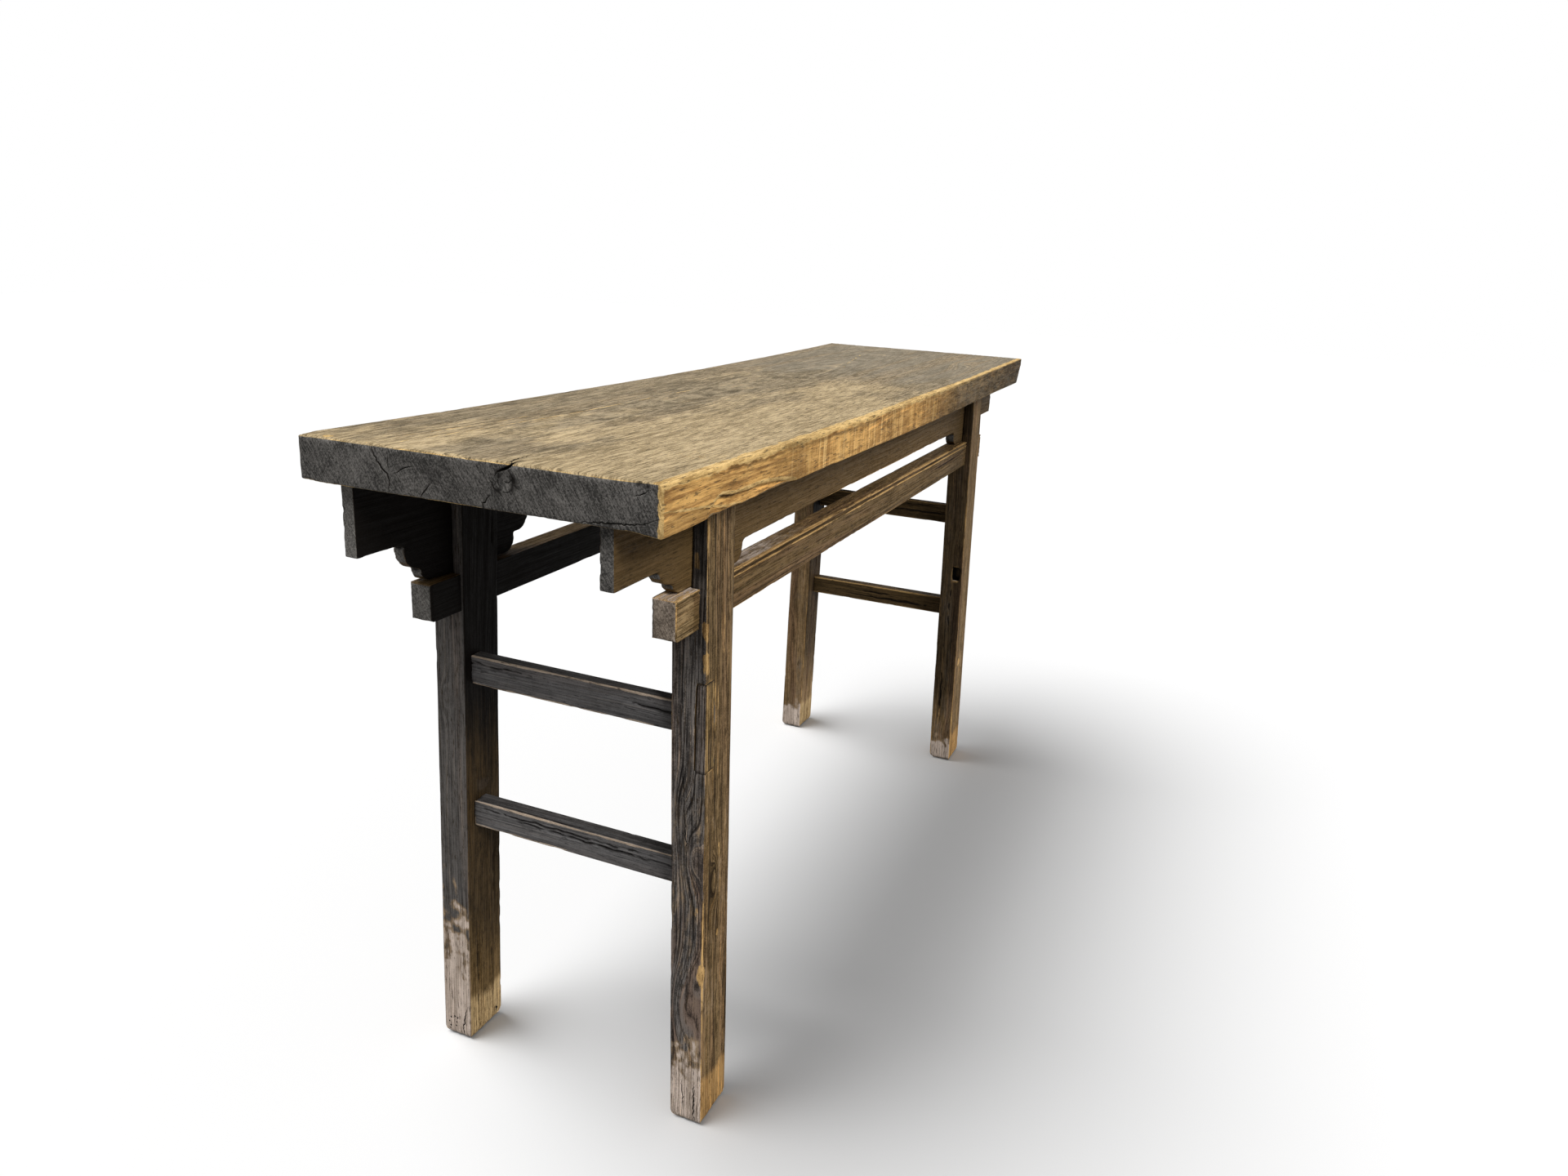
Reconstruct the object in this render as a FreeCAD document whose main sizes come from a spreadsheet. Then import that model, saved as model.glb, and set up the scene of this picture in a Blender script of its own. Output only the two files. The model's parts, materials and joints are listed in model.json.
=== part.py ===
import FreeCAD, Part
import os
import re
import Sketcher

# A Chinese altar table with recessed legs. Millimetres, +Z up, +X along the length.
# The origin is on the floor under the middle of the top. Left is -X, front is -Y.
# Each leg is slotted from above: the rail lies at the bottom of the slot, the apron stands on the rail,
# and the top plank closes the slot and holds the leg's tenon.

DOC = FreeCAD.newDocument("AltarTable")
SHEET = DOC.addObject("Spreadsheet::Sheet", "Sizes")

SIZES = [
    ("table_height", 850, "floor to the top's upper face"),
    ("top_length", 1536, "plank, along X"),
    ("top_width", 436, "plank, along Y"),
    ("top_thickness", 50, "plank, along Z"),
    ("top_corner_radius", 7, "worn upright corners of the plank"),
    ("undercut_length", 34, "slanted saw cut under the right end, along X"),
    ("undercut_height", 25, "the same, along Z"),
    ("wane_length", 368, "bark-edge facet at the left of the front edge, along X"),
    ("wane_height", 18, "the same, up the front face"),
    ("wane_depth", 9, "the same, in under the plank"),
    ("frame_set_back", 5, "the frame stands this far behind the plank's middle line"),
    ("end_overhang", 169, "plank's end to the legs' outer faces at their tops, along X"),
    ("side_overhang", 35, "plank's long edge to the same, along Y, before the set-back"),
    ("leg_width", 64, "leg section along X"),
    ("leg_depth", 42, "leg section along Y"),
    ("leg_splay_length", 8, "how far a foot stands out beyond its leg's top, along X"),
    ("leg_splay_width", 14, "the same, along Y"),
    ("top_tenon_length", 44, "tenon into the plank, along X"),
    ("top_tenon_thickness", 11, "the same, along Y"),
    ("top_tenon_height", 28, "the same, along Z"),
    ("apron_thickness", 18, "both aprons"),
    ("front_apron_end_inset", 13, "plank's end to the apron's end"),
    ("front_apron_recess", 17, "leg's outer face at the top to the apron's outer face"),
    ("front_apron_end_drop", 67, "plank's underside to the apron's lower edge outside the legs"),
    ("front_apron_middle_drop", 77, "the same between the legs"),
    ("back_apron_end_inset", 20, "plank's end to the apron's end"),
    ("back_apron_recess", 7, "leg's outer face at the top to the apron's outer face"),
    ("back_apron_end_drop", 84, "plank's underside to the apron's lower edge outside the legs"),
    ("back_apron_middle_drop", 84, "the same between the legs"),
    ("rail_block_length", 53, "leg's outer face at the top to the rail's end"),
    ("rail_thickness", 32, "rail section along Y"),
    ("rail_height", 47, "rail section along Z"),
    ("rail_recess", 5.5, "leg's outer face at the top to the rail's outer face"),
    ("front_rail_drop", 101.5, "plank's underside to the front rail's upper face"),
    ("back_rail_drop", 136, "plank's underside to the back rail's upper face"),
    ("bead_radius", 1.4, "scratched line on the front rail's face"),
    ("bead_inset", 5, "rail's edge to that line"),
    ("front_outer_first_lobe_reach", 44.5, "leg's face to the lobe's centre"),
    ("front_outer_first_lobe_radius", 25, "lobe next to the apron's lower edge"),
    ("front_outer_first_lobe_lift", 5, "lobe's centre above the apron's lower edge"),
    ("front_outer_second_lobe_reach", 25, "leg's face to the lobe's centre"),
    ("front_outer_second_lobe_radius", 15, "lobe that stands on the rail"),
    ("front_inner_lobe_reach", 46, "leg's face to the lobe's centre"),
    ("front_inner_lobe_radius", 16, "single lobe that stands on the rail"),
    ("front_inner_hollow_radius", 8, "hollow between that lobe and the apron's lower edge"),
    ("back_outer_first_lobe_reach", 53, "leg's face to the lobe's centre"),
    ("back_outer_first_lobe_radius", 25.5, "lobe next to the apron's lower edge"),
    ("back_outer_first_lobe_lift", -8, "lobe's centre above the apron's lower edge"),
    ("back_outer_second_lobe_reach", 37, "leg's face to the lobe's centre"),
    ("back_outer_second_lobe_radius", 15.5, "lobe that stands on the rail"),
    ("back_inner_first_lobe_reach", 62, "leg's face to the lobe's centre"),
    ("back_inner_first_lobe_radius", 24.5, "lobe next to the apron's lower edge"),
    ("back_inner_first_lobe_lift", -4, "lobe's centre above the apron's lower edge"),
    ("back_inner_second_lobe_reach", 38, "leg's face to the lobe's centre"),
    ("back_inner_second_lobe_radius", 17, "lobe that stands on the rail"),
    ("stretcher_recess", 8, "leg's outer face at the top to the stretcher's outer face"),
    ("upper_stretcher_drop", 243, "plank's underside to its upper face"),
    ("upper_stretcher_height", 39, "section along Z"),
    ("upper_stretcher_thickness", 20, "section along X"),
    ("stretcher_gap", 161, "upper stretcher's underside to the lower one's upper face"),
    ("lower_stretcher_height", 36, "section along Z"),
    ("lower_stretcher_thickness", 24, "section along X"),
    ("stretcher_tenon_length", 24, "into the leg, along Y"),
    ("stretcher_tenon_thickness", 10, "along X"),
    ("stretcher_tenon_shoulder", 5, "above and below the tenon"),
    ("mortise_end_gap", 1, "beyond the end of each stretcher's tenon"),
    ("patch_above_stretcher", 31, "upper stretcher's upper face to the repair's upper end"),
    ("patch_below_stretcher", 38, "upper stretcher's underside to the repair's lower end"),
    ("patch_width", 22, "along X, from the leg's outer face"),
    ("patch_depth", 13, "along Y, from the leg's front face"),
    ("old_mortise_rise", 50, "lower stretcher's upper face to the empty mortise in the right front leg"),
    ("old_mortise_height", 28, "along Z"),
    ("old_mortise_width", 15, "along Y"),
    ("old_mortise_depth", 15, "along X, into the leg"),
    ("old_mortise_inset", 5, "leg's front face to the mortise"),
    ("overrun", 12, "how far a cutter runs past the face that it cuts"),
]
ALIASES = {alias for alias, number, note in SIZES}

QUARTER_TURN = 90
LEG_TOP = "(table_height - top_thickness)"
LEGS_X = "(top_length / 2 - end_overhang)"
LEGS_Y = "(top_width / 2 - side_overhang)"
RAIL_LENGTH = "(2 * (%s + rail_block_length))" % LEGS_X
UPPER_STRETCHER_TOP = "(%s - upper_stretcher_drop)" % LEG_TOP
STRETCHER_TOPS = {
    "upper": UPPER_STRETCHER_TOP,
    "lower": "(%s - upper_stretcher_height - stretcher_gap)" % UPPER_STRETCHER_TOP,
}


def fill_sheet():
    """Write the driving sizes, one row each, with the alias as the name."""
    for row, (alias, number, note) in enumerate(SIZES, start=1):
        SHEET.set("A%d" % row, alias)
        SHEET.set("B%d" % row, str(number))
        SHEET.set("C%d" % row, note)
        SHEET.setAlias("B%d" % row, alias)
    DOC.recompute()


def sized(text):
    """Turn the sizes' names in an expression into references to the sheet."""
    def reference(match):
        word = match.group(0)
        return "Sizes." + word if word in ALIASES else word

    return re.sub(r"[a-z_]+", reference, text)


def bind(thing, **expressions):
    """Bind properties to expressions; x, y and z are the placement's."""
    paths = {"x": "Placement.Base.x", "y": "Placement.Base.y", "z": "Placement.Base.z"}
    for name, text in expressions.items():
        thing.setExpression(paths.get(name, name), sized(text))


def block(name, x, y, z, length, width, height):
    """A box whose low corner is at x, y, z."""
    box = DOC.addObject("Part::Box", name)
    bind(box, x=x, y=y, z=z, Length=length, Width=width, Height=height)
    return box


def centred_block(name, x, y, z, length, width, height):
    """A box centred on x and y, standing on z."""
    low_x = "%s - (%s) / 2" % (x, length)
    low_y = "%s - (%s) / 2" % (y, width)
    return block(name, low_x, low_y, z, length, width, height)


def rod(name, axis, radius, length, x, y, z):
    """A round rod centred on x and y, along the X or the Y axis."""
    cylinder = DOC.addObject("Part::Cylinder", name)
    turned = FreeCAD.Vector(0, 1, 0) if axis == "X" else FreeCAD.Vector(-1, 0, 0)
    cylinder.Placement = FreeCAD.Placement(FreeCAD.Vector(), FreeCAD.Rotation(turned, QUARTER_TURN))
    start = {"X": (x + " - (%s) / 2" % length, y), "Y": (x, y + " - (%s) / 2" % length)}
    bind(cylinder, Radius=radius, Height=length, x=start[axis][0], y=start[axis][1], z=z)
    return cylinder


def fused(name, shapes):
    """One solid out of several."""
    union = DOC.addObject("Part::MultiFuse", name)
    union.Shapes = shapes
    union.Refine = True
    return union


def grouped(name, shapes):
    """Several shapes taken together as one cutter."""
    group = DOC.addObject("Part::Compound", name)
    group.Links = shapes
    return group


def cut(name, base, tool):
    """The base without the tool."""
    rest = DOC.addObject("Part::Cut", name)
    rest.Base = base
    rest.Tool = tool
    return rest


def origin_plane(body, role):
    """One of the body's own origin planes."""
    return next(plane for plane in body.Origin.OriginFeatures if plane.Role == role)


def rectangle(body, name, x, y, z, length, width):
    """A level rectangle sketch, centred on x and y at the height z, its sides bound to the sheet."""
    sketch = body.newObject("Sketcher::SketchObject", name)
    sketch.AttachmentSupport = [(origin_plane(body, "XY_Plane"), "")]
    sketch.MapMode = "FlatFace"
    corners = [(-1, -1), (1, -1), (1, 1), (-1, 1)]
    points = [FreeCAD.Vector(cx, cy, 0) for cx, cy in corners]
    for index, start in enumerate(points):
        sketch.addGeometry(Part.LineSegment(start, points[(index + 1) % len(points)]))
    for index in range(len(points)):
        sketch.addConstraint(Sketcher.Constraint("Coincident", index, 2, (index + 1) % len(points), 1))
    for index, kind in enumerate(("Horizontal", "Vertical", "Horizontal", "Vertical")):
        sketch.addConstraint(Sketcher.Constraint(kind, index))
    sketch.addConstraint(Sketcher.Constraint("Symmetric", 0, 1, 1, 2, -1, 1))
    for index, text in ((0, length), (1, width)):
        kind = "DistanceX" if index == 0 else "DistanceY"
        number = sketch.addConstraint(Sketcher.Constraint(kind, index, 1, index, 2, 2.0))
        sketch.setExpression("Constraints[%d]" % number, sized(text))
    for path, text in (("x", x), ("y", y), ("z", z)):
        sketch.setExpression("AttachmentOffset.Base." + path, sized(text))
    return sketch


def raised(body, name, sketch, height):
    """A pad of the sketch, upwards."""
    pad = body.newObject("PartDesign::Pad", name)
    pad.Profile = sketch
    bind(pad, Length=height)
    return pad


def sunk(body, name, sketch, depth):
    """A pocket of the sketch, downwards."""
    pocket = body.newObject("PartDesign::Pocket", name)
    pocket.Profile = sketch
    bind(pocket, Length=depth)
    return pocket


def signed(sign, text):
    """An expression on the left or front (-1) or on the right or back (+1)."""
    return "(%d * %s)" % (sign, text)


class Side:
    """The front (-1) or the back (+1): where its rail, apron, slot and top tenon lie."""

    def __init__(self, name, sign):
        self.name = name
        self.sign = sign
        self.rail_top = "(%s - %s_rail_drop)" % (LEG_TOP, name)
        self.rail_y = self.across("(%s - rail_recess - rail_thickness / 2)" % LEGS_Y)
        self.apron_y = self.across("(%s - %s_apron_recess - apron_thickness / 2)" % (LEGS_Y, name))
        outer_prong = "(%s - front_apron_recess / 2)" % LEGS_Y
        inner_prong = "(%s - (leg_depth + back_apron_recess + apron_thickness) / 2)" % LEGS_Y
        self.tenon_y = self.across(outer_prong if name == "front" else inner_prong)

    def across(self, distance):
        """A place at this distance from the frame's middle line."""
        return "(frame_set_back + %s)" % signed(self.sign, distance)

    def low_edge(self, where):
        """The height of the apron's lower edge, at the end or in the middle."""
        return "(%s - %s_apron_%s_drop)" % (LEG_TOP, self.name, where)


FRONT = Side("front", -1)
BACK = Side("back", 1)
ENDS = (("left", -1), ("right", 1))
STRETCHERS = ("upper", "lower")


def leg_centre(sign, outer_face, section, splay):
    """The middle of a leg's section, with its share of the splay."""
    return signed(sign, "(%s - %s / 2 + %s)" % (outer_face, section, splay))


def leg_blank(end, end_sign, side):
    """A splayed leg, slotted from above for the rail and the apron, with its tenon into the plank."""
    name = "%s_%s_leg" % (side.name, end)
    body = DOC.addObject("PartDesign::Body", name + "_blank")
    top_x = leg_centre(end_sign, LEGS_X, "leg_width", "0")
    foot_x = leg_centre(end_sign, LEGS_X, "leg_width", "leg_splay_length")
    foot_y = "frame_set_back + " + leg_centre(side.sign, LEGS_Y, "leg_depth", "leg_splay_width")
    foot = rectangle(body, name + "_foot", foot_x, foot_y, "0", "leg_width", "leg_depth")
    stem = raised(body, name + "_stem", foot, LEG_TOP)
    stem.UseCustomVector = True
    stem.AlongSketchNormal = True
    lean = {
        "x": signed(-end_sign, "leg_splay_length"),
        "y": signed(-side.sign, "leg_splay_width"),
        "z": LEG_TOP,
    }
    for axis, text in lean.items():
        stem.setExpression("Direction." + axis, sized(text))
    tenon = rectangle(body, name + "_tenon", top_x, side.tenon_y, LEG_TOP,
                      "top_tenon_length", "top_tenon_thickness")
    raised(body, name + "_tenon_pad", tenon, "top_tenon_height")
    slot = rectangle(body, name + "_slot", top_x, side.apron_y, LEG_TOP,
                     "leg_width + 2 * overrun", "apron_thickness")
    sunk(body, name + "_slot_pocket", slot, "%s_rail_drop + rail_height" % side.name)
    return body


def splay_at(height, splay):
    """How far a leg has moved out at a height above the floor."""
    return "(%s * (%s - (%s)) / %s)" % (splay, LEG_TOP, height, LEG_TOP)


def stretcher_middle(level):
    """The height of the middle of a stretcher."""
    return "(%s - %s_stretcher_height / 2)" % (STRETCHER_TOPS[level], level)


def stretcher_x(level, end_sign):
    """The middle of a stretcher along the table's length."""
    return signed(end_sign, "(%s - stretcher_recess - %s_stretcher_thickness / 2)" % (LEGS_X, level))


def tenon_reach(level):
    """From the frame's middle line to the end of a stretcher's tenon."""
    inner_face = "%s - leg_depth + %s" % (LEGS_Y, splay_at(stretcher_middle(level), "leg_splay_width"))
    return "(%s + stretcher_tenon_length)" % inner_face


def mortise(level, end, end_sign, side):
    """The cutter for one stretcher's mortise, from inside the frame into the leg."""
    name = "%s_%s_%s_mortise" % (side.name, end, level)
    depth = "(stretcher_tenon_length + mortise_end_gap + overrun)"
    middle = side.across("(%s + mortise_end_gap - %s / 2)" % (tenon_reach(level), depth))
    low = "%s - %s_stretcher_height + stretcher_tenon_shoulder" % (STRETCHER_TOPS[level], level)
    height = "%s_stretcher_height - 2 * stretcher_tenon_shoulder" % level
    return centred_block(name, stretcher_x(level, end_sign), middle, low,
                         "stretcher_tenon_thickness", depth, height)


def patch_block():
    """The room of the inlaid repair, at the outer front corner of the left front leg."""
    height = "upper_stretcher_height + patch_above_stretcher + patch_below_stretcher"
    low = "(%s + patch_above_stretcher - (%s))" % (UPPER_STRETCHER_TOP, height)
    middle = "%s + (%s) / 2" % (low, height)
    x = "-(%s + %s) - overrun" % (LEGS_X, splay_at(middle, "leg_splay_length"))
    y = "frame_set_back - (%s + %s) - overrun" % (LEGS_Y, splay_at(middle, "leg_splay_width"))
    return block("patch_room", x, y, low, "patch_width + overrun", "patch_depth + overrun", height)


def old_mortise_block():
    """The empty mortise in the inner face of the right front leg."""
    low = "(%s + old_mortise_rise)" % STRETCHER_TOPS["lower"]
    middle = low + " + old_mortise_height / 2"
    inner_x = "%s - leg_width + %s" % (LEGS_X, splay_at(middle, "leg_splay_length"))
    front_y = "frame_set_back - (%s + %s)" % (LEGS_Y, splay_at(middle, "leg_splay_width"))
    return block("old_mortise_room", inner_x + " - overrun", front_y + " + old_mortise_inset", low,
                 "old_mortise_depth + overrun", "old_mortise_width", "old_mortise_height")


def build_legs():
    """The four legs and the repair let into the left front one."""
    legs = {}
    for side in (FRONT, BACK):
        for end, end_sign in ENDS:
            name = "%s_%s_leg" % (side.name, end)
            blank = leg_blank(end, end_sign, side)
            cutters = [mortise(level, end, end_sign, side) for level in STRETCHERS]
            if (side, end) == (FRONT, "left"):
                room = patch_block()
                patch = DOC.addObject("Part::Common", "front_left_leg_patch")
                patch.Base = blank
                patch.Tool = room
                cutters.append(room)
            if (side, end) == (FRONT, "right"):
                cutters.append(old_mortise_block())
            legs[name] = cut(name, blank, grouped(name + "_cutters", cutters))
    return legs, patch


def build_rail(side, legs):
    """A rail that runs through the two legs' slots, notched on both cheeks where it crosses them."""
    low = "%s - rail_height" % side.rail_top
    blank = centred_block(side.name + "_rail_blank", "0", side.rail_y, low,
                          RAIL_LENGTH, "rail_thickness", "rail_height")
    cutters = list(legs)
    if side is FRONT:
        face = side.across("(%s - rail_recess)" % LEGS_Y)
        for place, height in (("upper", side.rail_top + " - bead_inset"), ("lower", low + " + bead_inset")):
            bead_length = RAIL_LENGTH + " + 2 * overrun"
            bead = rod("front_rail_%s_bead" % place, "X", "bead_radius", bead_length, "0", face, height)
            cutters.append(bead)
    return cut(side.name + "_rail", blank, grouped(side.name + "_rail_cutters", cutters))


def lobe(side, place, number, face, outward, centre_z):
    """A round lobe of a spandrel, beside a leg's face."""
    prefix = "%s_%s_%s" % (side.name, place, number)
    x = "%s + %s" % (face, signed(outward, prefix + "_reach"))
    name = "%s_%d" % (prefix, len(DOC.Objects))
    return rod(name, "Y", prefix + "_radius", "apron_thickness", x, side.apron_y, centre_z)


def web(side, name, face, outward, reach, low, high):
    """The plain part of a spandrel, from inside the slot out to the reach, between two heights."""
    length = "(%s + leg_width / 2)" % reach
    x = "%s + %s" % (face, signed(outward, "(%s - leg_width / 2) / 2" % reach))
    return centred_block(name, x, side.apron_y, low, length, "apron_thickness", "%s - (%s)" % (high, low))


def double_lobe(side, place, where, face, outward):
    """A spandrel of two lobes, the lower one standing on the rail."""
    prefix = "%s_%s" % (side.name, place)
    edge = side.low_edge(where)
    first_z = "(%s + %s_first_lobe_lift)" % (edge, prefix)
    second_z = "(%s + %s_second_lobe_radius)" % (side.rail_top, prefix)
    first_low = "(%s - %s_first_lobe_radius)" % (first_z, prefix)
    name = "%s_web_%d" % (prefix, len(DOC.Objects))
    return [
        lobe(side, place, "first_lobe", face, outward, first_z),
        lobe(side, place, "second_lobe", face, outward, second_z),
        web(side, name + "a", face, outward, prefix + "_first_lobe_reach", first_low, edge),
        web(side, name + "b", face, outward, prefix + "_second_lobe_reach", side.rail_top, edge),
    ]


def single_lobe(side, place, where, face, outward):
    """A small bracket of one lobe, with a hollow between it and the apron's lower edge."""
    prefix = "%s_%s" % (side.name, place)
    edge = side.low_edge(where)
    lobe_z = "(%s + %s_lobe_radius)" % (side.rail_top, prefix)
    hollow_reach = "(%s_lobe_reach + %s_lobe_radius + %s_hollow_radius)" % (prefix, prefix, prefix)
    hollow_z = "(%s - %s_hollow_radius)" % (edge, prefix)
    count = len(DOC.Objects)
    upper = web(side, "%s_web_%da" % (prefix, count), face, outward, hollow_reach, hollow_z, edge)
    hollow_x = "%s + %s" % (face, signed(outward, hollow_reach))
    hollow = rod("%s_hollow_%d" % (prefix, count), "Y", prefix + "_hollow_radius",
                 "apron_thickness + 2 * overrun", hollow_x, side.apron_y, hollow_z)
    return [
        cut("%s_corner_%d" % (prefix, count), upper, hollow),
        lobe(side, place, "lobe", face, outward, lobe_z),
        web(side, "%s_web_%db" % (prefix, count), face, outward,
            prefix + "_lobe_reach", side.rail_top, edge),
    ]


def build_apron(side):
    """One board with its spandrels, standing on the rail in the legs' slots."""
    name = side.name + "_apron"
    end_edge = side.low_edge("end")
    middle_edge = side.low_edge("middle")
    inner_length = "(2 * %s - leg_width)" % LEGS_X
    pieces = [
        centred_block(name + "_board", "0", side.apron_y, end_edge,
                      "top_length - 2 * %s_end_inset" % name, "apron_thickness", name + "_end_drop"),
        centred_block(name + "_middle", "0", side.apron_y, middle_edge,
                      inner_length, "apron_thickness", name + "_middle_drop"),
    ]
    inner = single_lobe if side is FRONT else double_lobe
    for end, end_sign in ENDS:
        outer_face = signed(end_sign, LEGS_X)
        inner_face = signed(end_sign, "(%s - leg_width)" % LEGS_X)
        pieces += double_lobe(side, "outer", "end", outer_face, end_sign)
        pieces += inner(side, "inner", "middle", inner_face, -end_sign)
    return fused(name, pieces)


def build_stretcher(level, end, end_sign, legs):
    """A stretcher between the two legs of one end, its tenons left where the legs' mortises are."""
    name = "%s_%s_stretcher" % (end, level)
    low = "%s - %s_stretcher_height" % (STRETCHER_TOPS[level], level)
    blank = centred_block(name + "_blank", stretcher_x(level, end_sign), "frame_set_back", low,
                          level + "_stretcher_thickness", "2 * " + tenon_reach(level),
                          level + "_stretcher_height")
    return cut(name, blank, grouped(name + "_legs", legs))

# The bark edge's facet at its start, and the sliver that it runs out to, as shares of its full size.
WANE_FULL = "1"
WANE_RUN_OUT = "0.05"


def wane_triangle(body, name, x, scale):
    """An upright triangle at the plank's lower front edge: the part of it that the bark edge leaves off."""
    sketch = body.newObject("Sketcher::SketchObject", name)
    sketch.AttachmentSupport = [(origin_plane(body, "YZ_Plane"), "")]
    sketch.MapMode = "FlatFace"
    corners = [FreeCAD.Vector(0, 0, 0), FreeCAD.Vector(1, 0, 0), FreeCAD.Vector(0, 1, 0)]
    for index, start in enumerate(corners):
        sketch.addGeometry(Part.LineSegment(start, corners[(index + 1) % len(corners)]))
    for index in range(len(corners)):
        sketch.addConstraint(Sketcher.Constraint("Coincident", index, 2, (index + 1) % len(corners), 1))
    sketch.addConstraint(Sketcher.Constraint("Coincident", 0, 1, -1, 1))
    sketch.addConstraint(Sketcher.Constraint("Horizontal", 0))
    sketch.addConstraint(Sketcher.Constraint("Vertical", 2))
    depth = sketch.addConstraint(Sketcher.Constraint("DistanceX", 0, 1, 0, 2, 1.0))
    height = sketch.addConstraint(Sketcher.Constraint("DistanceY", 2, 2, 2, 1, 1.0))
    sketch.setExpression("Constraints[%d]" % depth, sized("wane_depth * %s" % scale))
    sketch.setExpression("Constraints[%d]" % height, sized("wane_height * %s" % scale))
    for path, text in (("x", "-top_width / 2"), ("y", LEG_TOP), ("z", x)):
        sketch.setExpression("AttachmentOffset.Base." + path, sized(text))
    return sketch


def build_plank(legs):
    """The top, with its worn corners, undercut right end, bark edge and the legs' mortises."""
    body = DOC.addObject("PartDesign::Body", "top_plank_blank")
    outline = rectangle(body, "top_outline", "0", "0", LEG_TOP, "top_length", "top_width")
    pad = raised(body, "top_pad", outline, "top_thickness")
    DOC.recompute()
    far_x = max(vertex.X for vertex in pad.Shape.Vertexes)
    low_z = min(vertex.Z for vertex in pad.Shape.Vertexes)

    def named_edges(test):
        return ["Edge%d" % (index + 1) for index, edge in enumerate(pad.Shape.Edges) if test(edge)]

    def is_right_underside(edge):
        centre = edge.CenterOfMass
        return max(abs(centre.x - far_x), abs(centre.z - low_z)) < Part.Precision.confusion()

    undercut = body.newObject("PartDesign::Chamfer", "top_undercut")
    undercut.Base = (pad, named_edges(is_right_underside))
    undercut.ChamferType = "Two distances"
    bind(undercut, Size="undercut_length", Size2="undercut_height")
    DOC.recompute()
    uprights = []
    for index, edge in enumerate(undercut.Shape.Edges):
        ends = edge.Vertexes
        if abs(ends[0].Z - ends[-1].Z) > abs(ends[0].X - ends[-1].X) + abs(ends[0].Y - ends[-1].Y):
            uprights.append("Edge%d" % (index + 1))
    corners = body.newObject("PartDesign::Fillet", "top_corners")
    corners.Base = (undercut, uprights)
    bind(corners, Radius="top_corner_radius")
    wane = body.newObject("PartDesign::SubtractiveLoft", "top_wane")
    wane.Profile = wane_triangle(body, "wane_start", "-top_length / 2 - overrun", WANE_FULL)
    wane.Sections = [wane_triangle(body, "wane_end", "-top_length / 2 + wane_length", WANE_RUN_OUT)]
    wane.Ruled = True
    return cut("top_plank", body, grouped("top_plank_legs", legs))


def check_and_export(nodes):
    """Refuse a failed object or a bad shape, then write one file per sub-part."""
    DOC.recompute()
    for thing in DOC.Objects:
        if "Invalid" in thing.State or "Error" in thing.State:
            raise RuntimeError("failed object: " + thing.Name)
    os.makedirs("parts", exist_ok=True)
    for name, thing in nodes.items():
        thing.Label = name
        shape = thing.Shape
        if shape.isNull() or not shape.isValid() or len(shape.Solids) != 1:
            raise RuntimeError("bad shape: %s with %d solids" % (name, len(shape.Solids)))
        shape.exportStep("parts/%s.step" % name)
        box = shape.optimalBoundingBox(False)
        print("%-24s %8.1f cm3  x %7.1f %7.1f  y %7.1f %7.1f  z %6.1f %6.1f" % (
            name, shape.Volume / 1000, box.XMin, box.XMax, box.YMin, box.YMax, box.ZMin, box.ZMax))


def main():
    fill_sheet()
    legs, patch = build_legs()
    nodes = dict(legs)
    nodes["front_left_leg_patch"] = patch
    for side in (FRONT, BACK):
        pair = [legs["%s_%s_leg" % (side.name, end)] for end, end_sign in ENDS]
        nodes[side.name + "_rail"] = build_rail(side, pair)
        nodes[side.name + "_apron"] = build_apron(side)
    for end, end_sign in ENDS:
        pair = [legs["%s_%s_leg" % (side.name, end)] for side in (FRONT, BACK)]
        for level in STRETCHERS:
            nodes["%s_%s_stretcher" % (end, level)] = build_stretcher(level, end, end_sign, pair)
    nodes["top_plank"] = build_plank(list(legs.values()))
    check_and_export(nodes)


main()
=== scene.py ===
import functools
import json
import math
import types
import bpy
import numpy as np
from mathutils import Matrix, Vector, kdtree

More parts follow.
